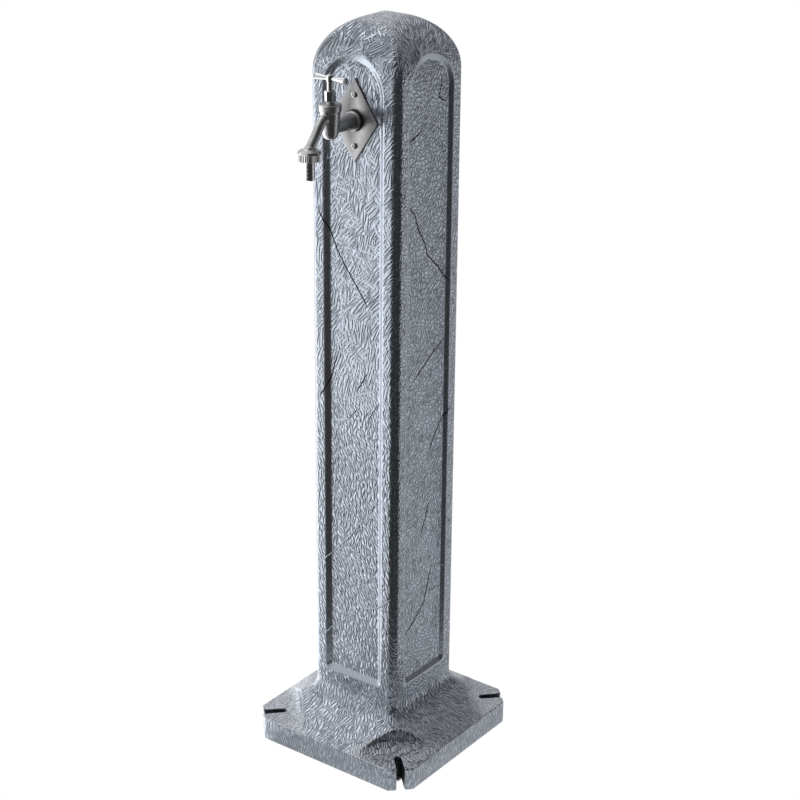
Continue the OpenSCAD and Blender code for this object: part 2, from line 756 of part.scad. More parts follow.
module hose_tail() color("gainsboro") at_outlet() {
    tail_r = tail_d / 2;
    bore_r = tail_bore_d / 2;
    step = tail_l / (tail_grooves + 1);
    difference() {
        union() {
            tube(tail_flange_d, tail_bore_d, tail_flange_foot, tail_flange_top);
            tube(tail_neck_d, tail_bore_d, tail_foot, tail_flange_top);
            tube(tail_d, tail_bore_d, tail_foot, union_foot - play);
        }
        for (i = [1 : tail_grooves]) translate([0, 0, tail_foot + i * step]) rotate_extrude()
            polygon([[tail_r - tail_groove, 0], [tail_r + over, 0],
                [tail_r + over, 2 * tail_groove], [tail_r, 2 * tail_groove]]);
        translate([0, 0, tail_foot]) rotate_extrude()
            polygon([[tail_r - edge_break, -over], [tail_r + over, -over], [tail_r + over, edge_break],
                [tail_r, edge_break], [tail_r - edge_break, 0]]);
    }
}

module union_nut() color("silver") at_outlet() difference() {
    union_r = union_nut_d / 2;
    rotate_extrude() polygon([[0, union_foot], [union_r - 2 * edge_break, union_foot],
        [union_r, union_foot + 2 * edge_break], [union_r, union_roof - edge_break],
        [union_r - edge_break, union_roof], [0, union_roof]]);
    for (i = [0 : knurl_count - 1]) rotate([0, 0, 360 * i / knurl_count])
        translate([union_r + knurl_depth / 2, 0, union_foot - over])
            cylinder(r = 1.5 * knurl_depth, h = union_nut_h + 2 * over, $fn = 12);
    translate([0, 0, union_cavity])
        cylinder(d = outlet_thread_d + 2 * play, h = union_nut_h);
    translate([0, 0, union_foot - over]) cylinder(d = tail_d + 2 * play, h = union_nut_h);
}

// Water supply inside the post

module barb(z0, direction) {
    ring = barb_l / 5;
    for (i = [0 : 4]) translate([0, 0, z0 + direction * i * ring])
        mirror([0, 0, direction < 0 ? 1 : 0])
            cylinder(d1 = barb_d, d2 = barb_d - 2 * edge_break, h = ring);
}

module wall_elbow() color("goldenrod") at_inlet() difference() {
    union() {
        rod_y(socket_d, socket_y, socket_end_y);
        rod_y(leg_d, socket_end_y - cast_t, riser_y);
        at_riser() {
            sphere(d = leg_d);
            translate([0, 0, wall_leg_foot]) cylinder(d = leg_d, h = -wall_leg_foot);
            barb(wall_leg_foot, -1);
        }
    }
    rod_y(shank_bore_d, socket_y - over, shank_end_y + edge_break);
    rod_y(barb_bore_d, socket_y, riser_y);
    at_riser() translate([0, 0, wall_leg_foot - barb_l - over])
        cylinder(d = barb_bore_d, h = barb_l + over - wall_leg_foot);
}

module clamp(z0) {
    ring_d = hose_d + 2 * play;
    lug = clamp_w - 2 * clamp_t;
    translate([0, 0, z0]) {
        tube(ring_d + 2 * clamp_t, ring_d, 0, clamp_w);
        difference() {
            translate([ring_d / 2, -lug / 2, clamp_t]) cube([lug, lug, lug]);
            translate([0, 0, -over]) cylinder(d = ring_d, h = clamp_w + 2 * over);
        }
        translate([(ring_d + lug) / 2, 0, clamp_w / 2]) rotate([-90, 0, 0])
            cylinder(d = lug / 2, h = clamp_w);
    }
}

module upper_clamp() color("silver") at_riser() clamp(hose_top_z - clamp_inset - clamp_w);

module lower_clamp() color("silver") at_riser() clamp(hose_foot_z + clamp_inset);

module supply_hose() color("darkgreen") at_riser()
    tube(hose_d, hose_bore_d, hose_foot_z, hose_top_z);

module inlet_elbow() color("goldenrod") at_rear() difference() {
    union() {
        rod_y(leg_d, riser_y, inner_wall_y);
        rod_y(inlet_flange_d, inner_wall_y - inlet_flange_t, inner_wall_y);
        rod_y(shank_d, inner_wall_y, inlet_shank_end_y);
        at_riser() {
            sphere(d = leg_d);
            cylinder(d = leg_d, h = inlet_leg_top);
            barb(inlet_leg_top, 1);
        }
    }
    rod_y(barb_bore_d, riser_y, inlet_shank_end_y + over);
    at_riser() cylinder(d = barb_bore_d, h = inlet_leg_top + barb_l + over);
}

module inlet_seal() color("black") at_rear() difference() {
    rod_y(inlet_flange_d, panel_floor, inlet_locknut_y);
    rod_y(shank_bore_d, panel_floor - over, inlet_locknut_y + over);
}

module inlet_locknut() color("goldenrod") at_rear() difference() {
    rotate([-90, 0, 0]) hexagon(locknut_af, inlet_locknut_y, nipple_y);
    rod_y(shank_bore_d, inlet_locknut_y - over, nipple_y + over);
}

module inlet_nipple() color("goldenrod") at_rear() {
    hex_end = nipple_y + nipple_hex_h;
    tip = hex_end + nipple_l;
    groove = oring_t - oring_stand;
    difference() {
        union() {
            rotate([-90, 0, 0]) hexagon(locknut_af, nipple_y, hex_end);
            rod_y(nipple_d, hex_end, tip - edge_break);
            cone_y(nipple_d, nipple_d - 2 * edge_break, tip - edge_break, tip);
        }
        rod_y(shank_bore_d, nipple_y - over, inlet_shank_end_y + play);
        rod_y(barb_bore_d, nipple_y, tip + over);
        difference() {
            rod_y(nipple_d + over, oring_y - oring_t / 2, oring_y + oring_t / 2);
            rod_y(nipple_d - 2 * groove, oring_y - oring_t, oring_y + oring_t);
        }
    }
}

module nipple_oring() color("black") at_rear() {
    groove = oring_t - oring_stand;
    translate([0, oring_y, 0]) rotate([-90, 0, 0]) rotate_extrude()
        translate([nipple_d / 2 - groove + oring_t / 2 + play, 0]) circle(d = oring_t - play, $fn = 32);
}

post_shell();
tap_plate();
plate_screws();
tap_seal();
tap_locknut();
tap_body();
headgear_washer();
headgear();
gland_packing();
gland_nut();
spindle();
jumper();
valve_washer();
jumper_nut();
t_handle();
handle_screw();
tail_washer();
hose_tail();
union_nut();
wall_elbow();
upper_clamp();
supply_hose();
lower_clamp();
inlet_elbow();
inlet_seal();
inlet_locknut();
inlet_nipple();
nipple_oring();
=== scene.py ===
import math

import bmesh
import bpy
import numpy as np
from mathutils import Matrix, Vector


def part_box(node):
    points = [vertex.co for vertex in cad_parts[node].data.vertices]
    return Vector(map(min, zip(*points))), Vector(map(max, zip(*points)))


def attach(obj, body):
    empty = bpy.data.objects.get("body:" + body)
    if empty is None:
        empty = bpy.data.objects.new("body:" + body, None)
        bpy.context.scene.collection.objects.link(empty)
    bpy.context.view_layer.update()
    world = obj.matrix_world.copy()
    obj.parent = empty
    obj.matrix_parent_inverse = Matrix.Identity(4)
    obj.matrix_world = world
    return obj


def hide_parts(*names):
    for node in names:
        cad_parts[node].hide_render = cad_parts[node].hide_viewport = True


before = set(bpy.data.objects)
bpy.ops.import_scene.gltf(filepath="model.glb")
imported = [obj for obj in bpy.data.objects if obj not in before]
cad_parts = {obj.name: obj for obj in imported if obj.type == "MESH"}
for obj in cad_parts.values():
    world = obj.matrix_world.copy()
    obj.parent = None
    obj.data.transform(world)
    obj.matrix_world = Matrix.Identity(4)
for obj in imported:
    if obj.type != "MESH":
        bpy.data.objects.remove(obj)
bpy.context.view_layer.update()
mm = 0.001
print("frame loaded:", len(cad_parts), "nodes")


def wayFrom(turn, rise):
    # the direction that far round from the front and that far above level, both in degrees
    turn, rise = math.radians(turn), math.radians(rise)
    return Vector((math.sin(turn) * math.cos(rise), -math.cos(turn) * math.cos(rise), math.sin(rise)))


# Camera, as the photograph was taken
photoView = {
    "azimuth": 36.5116, "elevation": 22.8308, "roll": 0.5217,        # degrees
    "distance": 2632.64 * mm, "aimRight": 19.25 * mm, "aimHeight": 491.83 * mm,
    "focalPixels": 2014.22, "pictureWidth": 800, "sensor": 36,
}


def addCamera(view):
    turn, roll = math.radians(view["azimuth"]), math.radians(view["roll"])
    back = wayFrom(view["azimuth"], view["elevation"])
    level = Vector((math.cos(turn), math.sin(turn), 0))
    up = level.cross(-back)
    right = math.cos(roll) * level + math.sin(roll) * up
    up = math.cos(roll) * up - math.sin(roll) * level
    aim = level * view["aimRight"] + Vector((0, 0, view["aimHeight"]))
    data = bpy.data.cameras.new("photoCamera")
    data.sensor_width = view["sensor"]
    data.lens = view["focalPixels"] / view["pictureWidth"] * view["sensor"]
    camera = bpy.data.objects.new("photoCamera", data)
    bpy.context.scene.collection.objects.link(camera)
    axes = Matrix((right, up, back)).transposed().to_4x4()
    camera.matrix_world = Matrix.Translation(aim + back * view["distance"]) @ axes
    bpy.context.scene.camera = camera


addCamera(photoView)
print("camera set")


# Modelling helpers
def makeActive(piece):
    bpy.ops.object.select_all(action="DESELECT")
    piece.select_set(True)
    bpy.context.view_layer.objects.active = piece


def addPiece(name, operator, **settings):
    bpy.ops.object.select_all(action="DESELECT")
    operator(**settings)
    piece = bpy.context.object
    piece.name = piece.data.name = name
    return piece


def setPlace(piece, at=(0, 0, 0), turn=(0, 0, 0)):
    piece.location = at
    piece.rotation_euler = [math.radians(angle) for angle in turn]
    makeActive(piece)
    bpy.ops.object.transform_apply(location=True, rotation=True, scale=True)
    return piece


def editMode(piece):
    makeActive(piece)
    bpy.ops.object.mode_set(mode="EDIT")
    bpy.ops.mesh.select_all(action="SELECT")


def objectMode():
    # leaves edit mode with doubles merged and faces outwards
    bpy.ops.mesh.select_all(action="SELECT")
    bpy.ops.mesh.remove_doubles(threshold=0.01 * mm)
    bpy.ops.mesh.normals_make_consistent(inside=False)
    bpy.ops.object.mode_set(mode="OBJECT")


def pickParts(piece, kind, test=lambda part: True):
    # selects the edges or the faces that pass the test
    mesh = bmesh.from_edit_mesh(piece.data)
    bpy.ops.mesh.select_mode(type=kind)
    bpy.ops.mesh.select_all(action="DESELECT")
    for part in (mesh.edges if kind == "EDGE" else mesh.faces):
        part.select_set(test(part))
    bmesh.update_edit_mesh(piece.data)


def raiseProfile(profile):
    # the selected face rises through the heights, and takes the size given with each
    height, size = profile[0]
    for nextHeight, nextSize in profile[1:]:
        bpy.ops.mesh.extrude_region_move(TRANSFORM_OT_translate={"value": (0, 0, nextHeight - height)})
        ratio = nextSize / size
        bpy.ops.transform.resize(value=(ratio, ratio, 1), center_override=(0, 0, nextHeight))
        height, size = nextHeight, nextSize


def turned(name, profile, segments=64):
    # a piece turned about Z, drawn as heights and radii from one end to the other
    height, size = profile[0]
    piece = addPiece(name, bpy.ops.mesh.primitive_circle_add, vertices=segments, radius=size,
                     fill_type="NGON")
    setPlace(piece, (0, 0, height))
    editMode(piece)
    raiseProfile(profile)
    objectMode()
    return piece


def turnedMm(name, rows, segments=64):
    # the same, drawn in mm
    return turned(name, [(height * mm, size * mm) for height, size in rows], segments)


def startCurve(name, radius, smoothness):
    curve = bpy.data.curves.new(name, "CURVE")
    curve.dimensions = "3D"
    curve.bevel_depth = radius
    curve.bevel_resolution = smoothness
    curve.use_fill_caps = True
    return curve


def curvePiece(curve, turn=0):
    # the curve made a closed mesh, turned about Z
    piece = bpy.data.objects.new(curve.name, curve)
    bpy.context.scene.collection.objects.link(piece)
    makeActive(piece)
    bpy.ops.object.convert(target="MESH")
    piece = setPlace(bpy.context.object, turn=(0, 0, turn))
    editMode(piece)
    objectMode()
    return piece


def finishWith(piece, kind, **settings):
    modifier = piece.modifiers.new(kind.title(), kind)
    for key, value in settings.items():
        setattr(modifier, key, value)
    makeActive(piece)
    bpy.ops.object.modifier_apply(modifier=modifier.name)
    return piece


def softenEdges(piece, width, segments, angle):
    return finishWith(piece, "BEVEL", width=width, segments=segments, limit_method="ANGLE",
                      angle_limit=math.radians(angle))


def combine(piece, other, operation):
    finishWith(piece, "BOOLEAN", operation=operation, solver="EXACT", object=other)
    bpy.data.objects.remove(other, do_unlink=True)
    return piece


def cut(piece, *cutters):
    for cutter in cutters:
        combine(piece, cutter, "DIFFERENCE")
    return piece


def weld(piece, *others):
    for other in others:
        combine(piece, other, "UNION")
    return piece


def castSkin(piece, voxel, rounds):
    # runs the welded forms into each other as a casting does
    finishWith(piece, "REMESH", mode="VOXEL", voxel_size=voxel, adaptivity=0)
    finishWith(piece, "SMOOTH", factor=0.5, iterations=rounds)
    return piece


def smoothShade(piece, angle=35):
    makeActive(piece)
    bpy.ops.object.shade_smooth_by_angle(angle=math.radians(angle))
    return piece


def finishPiece(piece, material, body, slot, *nodes):
    piece.data.materials.clear()
    piece.data.materials.append(material)
    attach(piece, body)
    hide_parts(*nodes)


# Material helpers
def startMaterial(name):
    material = bpy.data.materials.new(name)
    material.use_nodes = True
    tree = material.node_tree
    tree.nodes.clear()
    out = tree.nodes.new("ShaderNodeOutputMaterial")
    shader = tree.nodes.new("ShaderNodeBsdfPrincipled")
    tree.links.new(shader.outputs["BSDF"], out.inputs["Surface"])
    return material, tree, shader


def node(tree, kind, inputs=None, **settings):
    made = tree.nodes.new(kind)
    for key, value in settings.items():
        setattr(made, key, value)
    for key, value in (inputs or {}).items():
        if isinstance(value, bpy.types.NodeSocket):
            tree.links.new(value, made.inputs[key])
        else:
            made.inputs[key].default_value = value
    return made


def maths(tree, operation, value, *others):
    # several values are taken together one after another
    for other in others or (0.5,):
        value = node(tree, "ShaderNodeMath", {0: value, 1: other}, operation=operation).outputs[0]
    return value


def vectorMaths(tree, operation, first, second=(0, 0, 0), output="Vector"):
    return node(tree, "ShaderNodeVectorMath", {0: first, 1: second}, operation=operation).outputs[output]


def axesOf(tree, vector):
    parts = node(tree, "ShaderNodeSeparateXYZ", {"Vector": vector})
    return [parts.outputs[axis] for axis in "XYZ"]


def between(tree, value, low, high, toLow=0.0, toHigh=1.0):
    return node(tree, "ShaderNodeMapRange",
                {"Value": value, "From Min": low, "From Max": high, "To Min": toLow, "To Max": toHigh},
                interpolation_type="SMOOTHSTEP").outputs["Result"]


def band(tree, value, start, end):
    # rises to 1 over the first pair of levels, and falls to 0 over the second
    return maths(tree, "MULTIPLY", between(tree, value, *start), between(tree, value, *end, 1.0, 0.0))


def choose(tree, share, first, second):
    return node(tree, "ShaderNodeMix", {"Factor": share, 2: first, 3: second}).outputs[0]


def blendColour(tree, share, first, second):
    first, second = (colour if isinstance(colour, bpy.types.NodeSocket) else (*colour, 1)
                     for colour in (first, second))
    return node(tree, "ShaderNodeMix", {"Factor": share, 6: first, 7: second}, data_type="RGBA").outputs[2]


def noiseOf(tree, vector, size, detail=2.0, rough=0.5, output="Fac"):
    return node(tree, "ShaderNodeTexNoise", {"Vector": vector, "Scale": 1 / size, "Detail": detail,
                                             "Roughness": rough}).outputs[output]


def bumpOf(tree, height, depth, strength=1.0, under=None):
    inputs = {"Height": height, "Distance": depth, "Strength": strength}
    if under is not None:
        inputs["Normal"] = under
    return node(tree, "ShaderNodeBump", inputs).outputs["Normal"]


# The moulded plastic: silver-grey, with straw-like strokes high on the front, short wrinkles below
# them, a finer grain on the sides and leather on the foot. Zones are heights, or distances in a face.
mouldedLook = {
    # the groove colour is painted shade in the relief's grooves, and the ridge colour a painted highlight on
    # its ridges
    "groove": (0.285, 0.315, 0.365), "face": (0.41, 0.445, 0.505), "ridge": (0.50, 0.54, 0.605),
    # the near-black crack colour is painted shade, and the pale colour after it is painted light from above
    # for the pads and upward faces
    "crack": (0.012, 0.014, 0.02), "pale": (0.72, 0.755, 0.81), "metal": 0.93, "paleMetal": 0.25,
    "gloss": 0.22, "glossChange": 0.1, "paleGloss": 0.15,
    "straw": {"lean": 25, "spread": 20, "width": 4.3 * mm, "stretch": 0.14, "bundle": 32 * mm},
    "crossing": {"lean": -50, "spread": 35, "width": 4.3 * mm, "stretch": 0.14, "bundle": 25.6 * mm},
    "wrinkles": {"lean": -15, "spread": 22, "width": 4.4 * mm, "stretch": 0.33, "bundle": 32 * mm},
    "grain": {"lean": 0, "spread": 60, "width": 4.4 * mm, "stretch": 0.5, "bundle": 16 * mm},
    "leather": {"lean": 0, "spread": 25, "width": 4.2 * mm, "stretch": 0.22, "bundle": 19.2 * mm},
    "strawDepth": 0.52 * mm, "wrinkleDepth": 0.62 * mm, "grainDepth": 0.58 * mm,
    "domeDepth": 2.6, "footDepth": 1.15, "calmDepth": 0.08,          # times the depth elsewhere
    "patchSize": 30 * mm, "patchShift": 120 * mm, "crossingPatches": (0.47, 0.53), "crossingHeight": 0.9,
    "warpSize": 30 * mm, "warp": 5 * mm,
    "strawZone": (500 * mm, 660 * mm), "domeZone": (930 * mm, 955 * mm), "footZone": (70 * mm, 100 * mm),
    "archHeight": 913 * mm, "slopeStart": (37.5 * mm, 39.5 * mm), "slopeEnd": (46.5 * mm, 48.5 * mm),
    "sillStart": (104 * mm, 106 * mm), "sillEnd": (113 * mm, 115 * mm), "sillSide": (44 * mm, 47 * mm),
    "arrisShare": (0.84, 0.9, 0.0, 0.6), "arrisZone": (90 * mm, 120 * mm),
    "paleFacing": (0.8, 0.97), "padZone": (160 * mm, 166 * mm), "padFacing": (0.22, 0.6),
    "softSize": 7 * mm, "softDepth": 0.6 * mm, "poreSize": 1.3 * mm, "poreDepth": 0.1 * mm,
}


def faceRelief(tree, place, slivers):
    # raised slivers in bundles, each bundle lying at its own slant within the spread about the lean
    cell = node(tree, "ShaderNodeTexVoronoi", {"Vector": place, "Scale": 1 / slivers["bundle"]},
                voronoi_dimensions="2D")
    chance = node(tree, "ShaderNodeSeparateColor", {"Color": cell.outputs["Color"]}).outputs["Red"]
    lean, spread = slivers["lean"], slivers["spread"]
    slant = between(tree, chance, 0.0, 1.0, math.radians(lean - spread), math.radians(lean + spread))
    slanted = node(tree, "ShaderNodeVectorRotate", {"Vector": place, "Angle": slant},
                   rotation_type="Z_AXIS").outputs[0]
    stretched = node(tree, "ShaderNodeMapping", {"Vector": slanted, "Scale": (1, slivers["stretch"], 1)},
                     vector_type="POINT").outputs["Vector"]
    fromEdge = node(tree, "ShaderNodeTexVoronoi", {"Vector": stretched, "Scale": 1 / slivers["width"]},
                    feature="DISTANCE_TO_EDGE", voronoi_dimensions="2D").outputs["Distance"]
    return between(tree, fromEdge, 0.0, 0.35)


def mouldedPlastic(look):
    material, tree, shader = startMaterial("mouldedPlastic")
    place = node(tree, "ShaderNodeTexCoord").outputs["Object"]
    sideways, deep, height = axesOf(tree, place)
    offX, offY = maths(tree, "ABSOLUTE", sideways), maths(tree, "ABSOLUTE", deep)
    outFromMiddle, inFace = maths(tree, "MAXIMUM", offX, offY), maths(tree, "MINIMUM", offX, offY)
    onFront = maths(tree, "GREATER_THAN", offY, offX)

    # places across and up each face, slightly warped, carry the relief
    along = choose(tree, onFront, deep, sideways)
    up = maths(tree, "SUBTRACT", height, outFromMiddle)
    face = node(tree, "ShaderNodeCombineXYZ", {"X": along, "Y": up}).outputs["Vector"]
    warp = noiseOf(tree, place, look["warpSize"], 1.0, output="Color")
    bent = vectorMaths(tree, "SUBTRACT", warp, (0.5, 0.5, 0.5))
    bent = vectorMaths(tree, "MULTIPLY", bent, (look["warp"],) * 3)
    face = vectorMaths(tree, "ADD", face, bent)
    strokes, crossing, wrinkles, grain, leather = (
        faceRelief(tree, face, look[kind])
        for kind in ("straw", "crossing", "wrinkles", "grain", "leather"))
    patches = noiseOf(tree, place, look["patchSize"], 1.0)
    crossed = maths(tree, "MAXIMUM", strokes, maths(tree, "MULTIPLY", crossing, look["crossingHeight"]))
    straw = choose(tree, between(tree, patches, *look["crossingPatches"]), crossed, strokes)

    # which relief lies where, and how deep it is
    ragged = maths(tree, "ADD", height, maths(tree, "MULTIPLY", patches, look["patchShift"]))
    upper = between(tree, ragged, *look["strawZone"])
    dome = between(tree, height, *look["domeZone"])
    low = between(tree, height, *look["footZone"], 1.0, 0.0)
    coarse = maths(tree, "MAXIMUM", maths(tree, "MULTIPLY", upper, onFront), dome)
    onSides = maths(tree, "MULTIPLY", maths(tree, "SUBTRACT", 1.0, onFront),
                    between(tree, height, *look["footZone"]), maths(tree, "SUBTRACT", 1.0, dome))
    relief = choose(tree, onSides, choose(tree, coarse, wrinkles, straw), grain)
    relief = choose(tree, low, relief, leather)
    depth = choose(tree, coarse, look["wrinkleDepth"], look["strawDepth"])
    depth = choose(tree, onSides, depth, look["grainDepth"])

    # it is calm on the slopes round the panels, on their sills and on the arrises
    overArch = maths(tree, "MAXIMUM", maths(tree, "SUBTRACT", height, look["archHeight"]), 0.0)
    fromArch = node(tree, "ShaderNodeCombineXYZ", {"X": inFace, "Y": overArch}).outputs["Vector"]
    fromArch = vectorMaths(tree, "LENGTH", fromArch, output="Value")
    slopes = maths(tree, "MULTIPLY", band(tree, fromArch, look["slopeStart"], look["slopeEnd"]),
                   between(tree, height, *look["sillStart"]))
    sill = maths(tree, "MULTIPLY", band(tree, height, look["sillStart"], look["sillEnd"]),
                 between(tree, fromArch, *look["sillSide"], 1.0, 0.0))
    arris = between(tree, maths(tree, "DIVIDE", inFace, outFromMiddle), *look["arrisShare"])
    arris = maths(tree, "MULTIPLY", arris, between(tree, height, *look["arrisZone"]))
    calm = maths(tree, "MAXIMUM", slopes, sill, arris)
    depth = maths(tree, "MULTIPLY", depth, between(tree, calm, 0.0, 1.0, 1.0, look["calmDepth"]),
                  between(tree, dome, 0.0, 1.0, 1.0, look["domeDepth"]),
                  between(tree, low, 0.0, 1.0, 1.0, look["footDepth"]))

    soft = noiseOf(tree, place, look["softSize"])
    pores = noiseOf(tree, place, look["poreSize"], 2.0, 0.6)
    normal = bumpOf(tree, relief, depth)
    normal = bumpOf(tree, soft, look["softDepth"], 0.5, normal)
    normal = bumpOf(tree, pores, look["poreDepth"], 0.6, normal)
    tree.links.new(normal, shader.inputs["Normal"])

    # painted shade darkens the grooves and a painted highlight pales the ridges; the pads and all that faces
    # upwards are painted paler as light from above, and are less metallic and rougher there
    colour = blendColour(tree, between(tree, relief, 0.0, 0.55), look["groove"], look["face"])
    colour = blendColour(tree, between(tree, relief, 0.6, 1.0), colour, look["ridge"])
    colour = blendColour(tree, calm, colour, look["face"])
    facing = axesOf(tree, node(tree, "ShaderNodeNewGeometry").outputs["True Normal"])[2]
    onPads = maths(tree, "MULTIPLY", between(tree, maths(tree, "ADD", offX, offY), *look["padZone"]),
                   between(tree, facing, *look["padFacing"]))
    pale = maths(tree, "MAXIMUM", between(tree, facing, *look["paleFacing"]), onPads)
    pale = maths(tree, "MULTIPLY", pale, between(tree, relief, 0.0, 0.55, 0.2, 1.0))
    colour = blendColour(tree, pale, colour, look["pale"])
    tree.links.new(colour, shader.inputs["Base Color"])
    metal = between(tree, pale, 0.0, 1.0, look["metal"], look["paleMetal"])
    tree.links.new(metal, shader.inputs["Metallic"])
    rough = between(tree, pores, 0.3, 0.7, look["gloss"], look["gloss"] + look["glossChange"])
    rough = maths(tree, "ADD", rough, maths(tree, "MULTIPLY", pale, look["paleGloss"]))
    tree.links.new(rough, shader.inputs["Roughness"])
    return material


def metalFinish(name, colour, gloss, grainSize, grainDepth, stretch=(1, 1, 1), stain=0.15,
                cloudSize=12 * mm):
    # cast, turned or brushed metal: a grain, a slight stain and a gloss that varies with both
    material, tree, shader = startMaterial(name)
    place = node(tree, "ShaderNodeTexCoord").outputs["Object"]
    along = node(tree, "ShaderNodeMapping", {"Vector": place, "Scale": stretch}).outputs["Vector"]
    grain = noiseOf(tree, along, grainSize, 3.0, 0.6)
    cloud = noiseOf(tree, place, cloudSize, 3.0)
    darker = [channel * (1 - stain) for channel in colour]
    mixed = blendColour(tree, between(tree, cloud, 0.35, 0.65), darker, colour)
    tree.links.new(mixed, shader.inputs["Base Color"])
    rough = maths(tree, "ADD", between(tree, grain, 0.3, 0.7, gloss * 0.8, gloss * 1.2),
                  between(tree, cloud, 0.3, 0.7, 0.0, gloss * 0.25))
    tree.links.new(rough, shader.inputs["Roughness"])
    tree.links.new(bumpOf(tree, grain, grainDepth, 0.6), shader.inputs["Normal"])
    shader.inputs["Metallic"].default_value = 1
    return material


def rubberFinish(name, colour, gloss, grainSize, grainDepth, dustSize=9 * mm):
    # rubber, fibre or dark plastic with a fine grain and a little dust
    material, tree, shader = startMaterial(name)
    place = node(tree, "ShaderNodeTexCoord").outputs["Object"]
    grain = noiseOf(tree, place, grainSize, 3.0, 0.6)
    pale = noiseOf(tree, place, dustSize, 3.0)
    paler = [min(1, channel * 1.6 + 0.01) for channel in colour]
    mixed = blendColour(tree, between(tree, pale, 0.4, 0.7), colour, paler)
    tree.links.new(mixed, shader.inputs["Base Color"])
    tree.links.new(between(tree, grain, 0.3, 0.7, gloss, gloss + 0.15), shader.inputs["Roughness"])
    tree.links.new(bumpOf(tree, grain, grainDepth, 0.6), shader.inputs["Normal"])
    return material


# Colour, roughness, size and depth of the grain, and for metals how the grain is stretched and the stain
metals = {
    "veinShine": (mouldedLook["face"], 0.3, 1.5 * mm, 0.05 * mm),
    "satinChrome": ((0.60, 0.605, 0.615), 0.30, 0.5 * mm, 0.03 * mm, (1, 1, 1), 0.12),
    "brightChrome": ((0.72, 0.725, 0.735), 0.10, 1.5 * mm, 0.004 * mm, (1, 1, 1), 0.05),
    "brushedPlate": ((0.345, 0.345, 0.35), 0.34, 0.5 * mm, 0.02 * mm, (0.04, 1, 1), 0.06),
    "zincSkin": ((0.60, 0.61, 0.62), 0.28, 0.5 * mm, 0.02 * mm),
    "turnedBrass": ((0.62, 0.44, 0.18), 0.24, 0.5 * mm, 0.02 * mm, (1, 1, 1), 0.25),
    "bandSteel": ((0.58, 0.59, 0.60), 0.30, 0.4 * mm, 0.02 * mm, (1, 1, 0.05)),
}
rubbers = {
    # crackShade is near-black painted shade, put on the walls of the cracks and of the slots
    "crackShade": (mouldedLook["crack"], 0.5, 1 * mm, 0.05 * mm),
    "blackRubber": ((0.018, 0.018, 0.019), 0.5, 0.4 * mm, 0.03 * mm),
    "redFibre": ((0.36, 0.09, 0.06), 0.75, 0.3 * mm, 0.05 * mm),
    "greenHose": ((0.035, 0.10, 0.055), 0.42, 0.6 * mm, 0.03 * mm),
}
finishes = {"mouldedPlastic": mouldedPlastic(mouldedLook)}
finishes.update({name: metalFinish(name, *numbers) for name, numbers in metals.items()})
finishes.update({name: rubberFinish(name, *numbers) for name, numbers in rubbers.items()})
print("materials made:", len(finishes))


# The moulded post: a foot and a column of one skin
moulding = {
    "half": 68.5 * mm, "arrisWidth": 10 * mm, "arrisRound": 0.4, "arrisSteps": 10, "wall": 4 * mm,
    "baseHalf": 131 * mm, "baseHeight": 32.5 * mm, "baseChamfer": 25 * mm, "chamferRound": 8 * mm,
    "filletRadius": 26 * mm, "slope": math.radians(30.4), "joinHeight": 86 * mm, "joinLap": 8 * mm,
    "panelHalf": 46.5 * mm, "panelDepth": 4.5 * mm, "panelBorder": 7.6 * mm, "panelLow": 106.5 * mm,
    "panelCorner": 8.5 * mm, "crownDrop": 40.5 * mm, "edgeSoftness": 0.9 * mm,
    "padReach": 88 * mm, "padBow": 5 * mm, "padCove": 18 * mm, "padDraft": math.radians(8),
    "slotWidth": 9 * mm, "slotMouth": 11 * mm, "slotInset": 32 * mm, "overrun": 1 * mm,
    "underSill": -2 * mm, "overSill": 9 * mm, "underArch": -8 * mm,      # where the rows change their step
    "rowSteps": (6 * mm, 1.1 * mm, 18 * mm, 1.6 * mm), "domeSteps": 66, "sideCuts": 84,
    "plainCuts": 3, "insideSteps": 12, "coveSteps": 10, "padSegments": 512,
    "footVoxel": 1.25 * mm, "footSmoothing": 5,
}


def addLevels(form):
    # the heights, and the reach of the slots along a diagonal, that follow from the other sizes
    slope, fillet = form["slope"], form["filletRadius"]
    form["height"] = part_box("post_shell")[1].z
    form["spring"] = form["height"] - form["half"]
    form["arch"] = form["height"] - form["crownDrop"] - form["panelHalf"]
    meet = form["baseHeight"] + (form["baseHalf"] - form["half"]) * math.tan(slope)
    form["flareTop"] = meet + fillet / math.tan((math.pi / 2 + slope) / 2)
    form["slotInner"] = (form["baseHalf"] - form["slotInset"]) * math.sqrt(2)
    form["slotOuter"] = (2 * form["baseHalf"] - form["baseChamfer"]) / math.sqrt(2)


def evenly(low, high, step):
    count = max(1, round((high - low) / step))
    return [low + (high - low) * index / count for index in range(count + 1)]


def squarePlan(name, form, depth, height, sideCuts):
    # the column's outline that far inside its skin, its arrises rounded and its sides subdivided
    size = form["half"] - depth
    piece = addPiece(name, bpy.ops.mesh.primitive_plane_add, size=2 * size)
    setPlace(piece, (0, 0, height))
    editMode(piece)
    bpy.ops.mesh.bevel(offset=form["arrisWidth"] - 0.6 * depth, offset_type="OFFSET", affect="VERTICES",
                       segments=form["arrisSteps"], profile=form["arrisRound"])
    pickParts(piece, "EDGE", lambda edge: edge.calc_length() > size)
    bpy.ops.mesh.subdivide(number_cuts=sideCuts)
    pickParts(piece, "FACE")
    return piece


def domeRows(form, depth, steps):
    size = form["half"] - depth
    angles = [math.pi / 2 * step / steps for step in range(1, steps)]
    return [(form["spring"] + size * math.sin(angle), size * math.cos(angle)) for angle in angles]


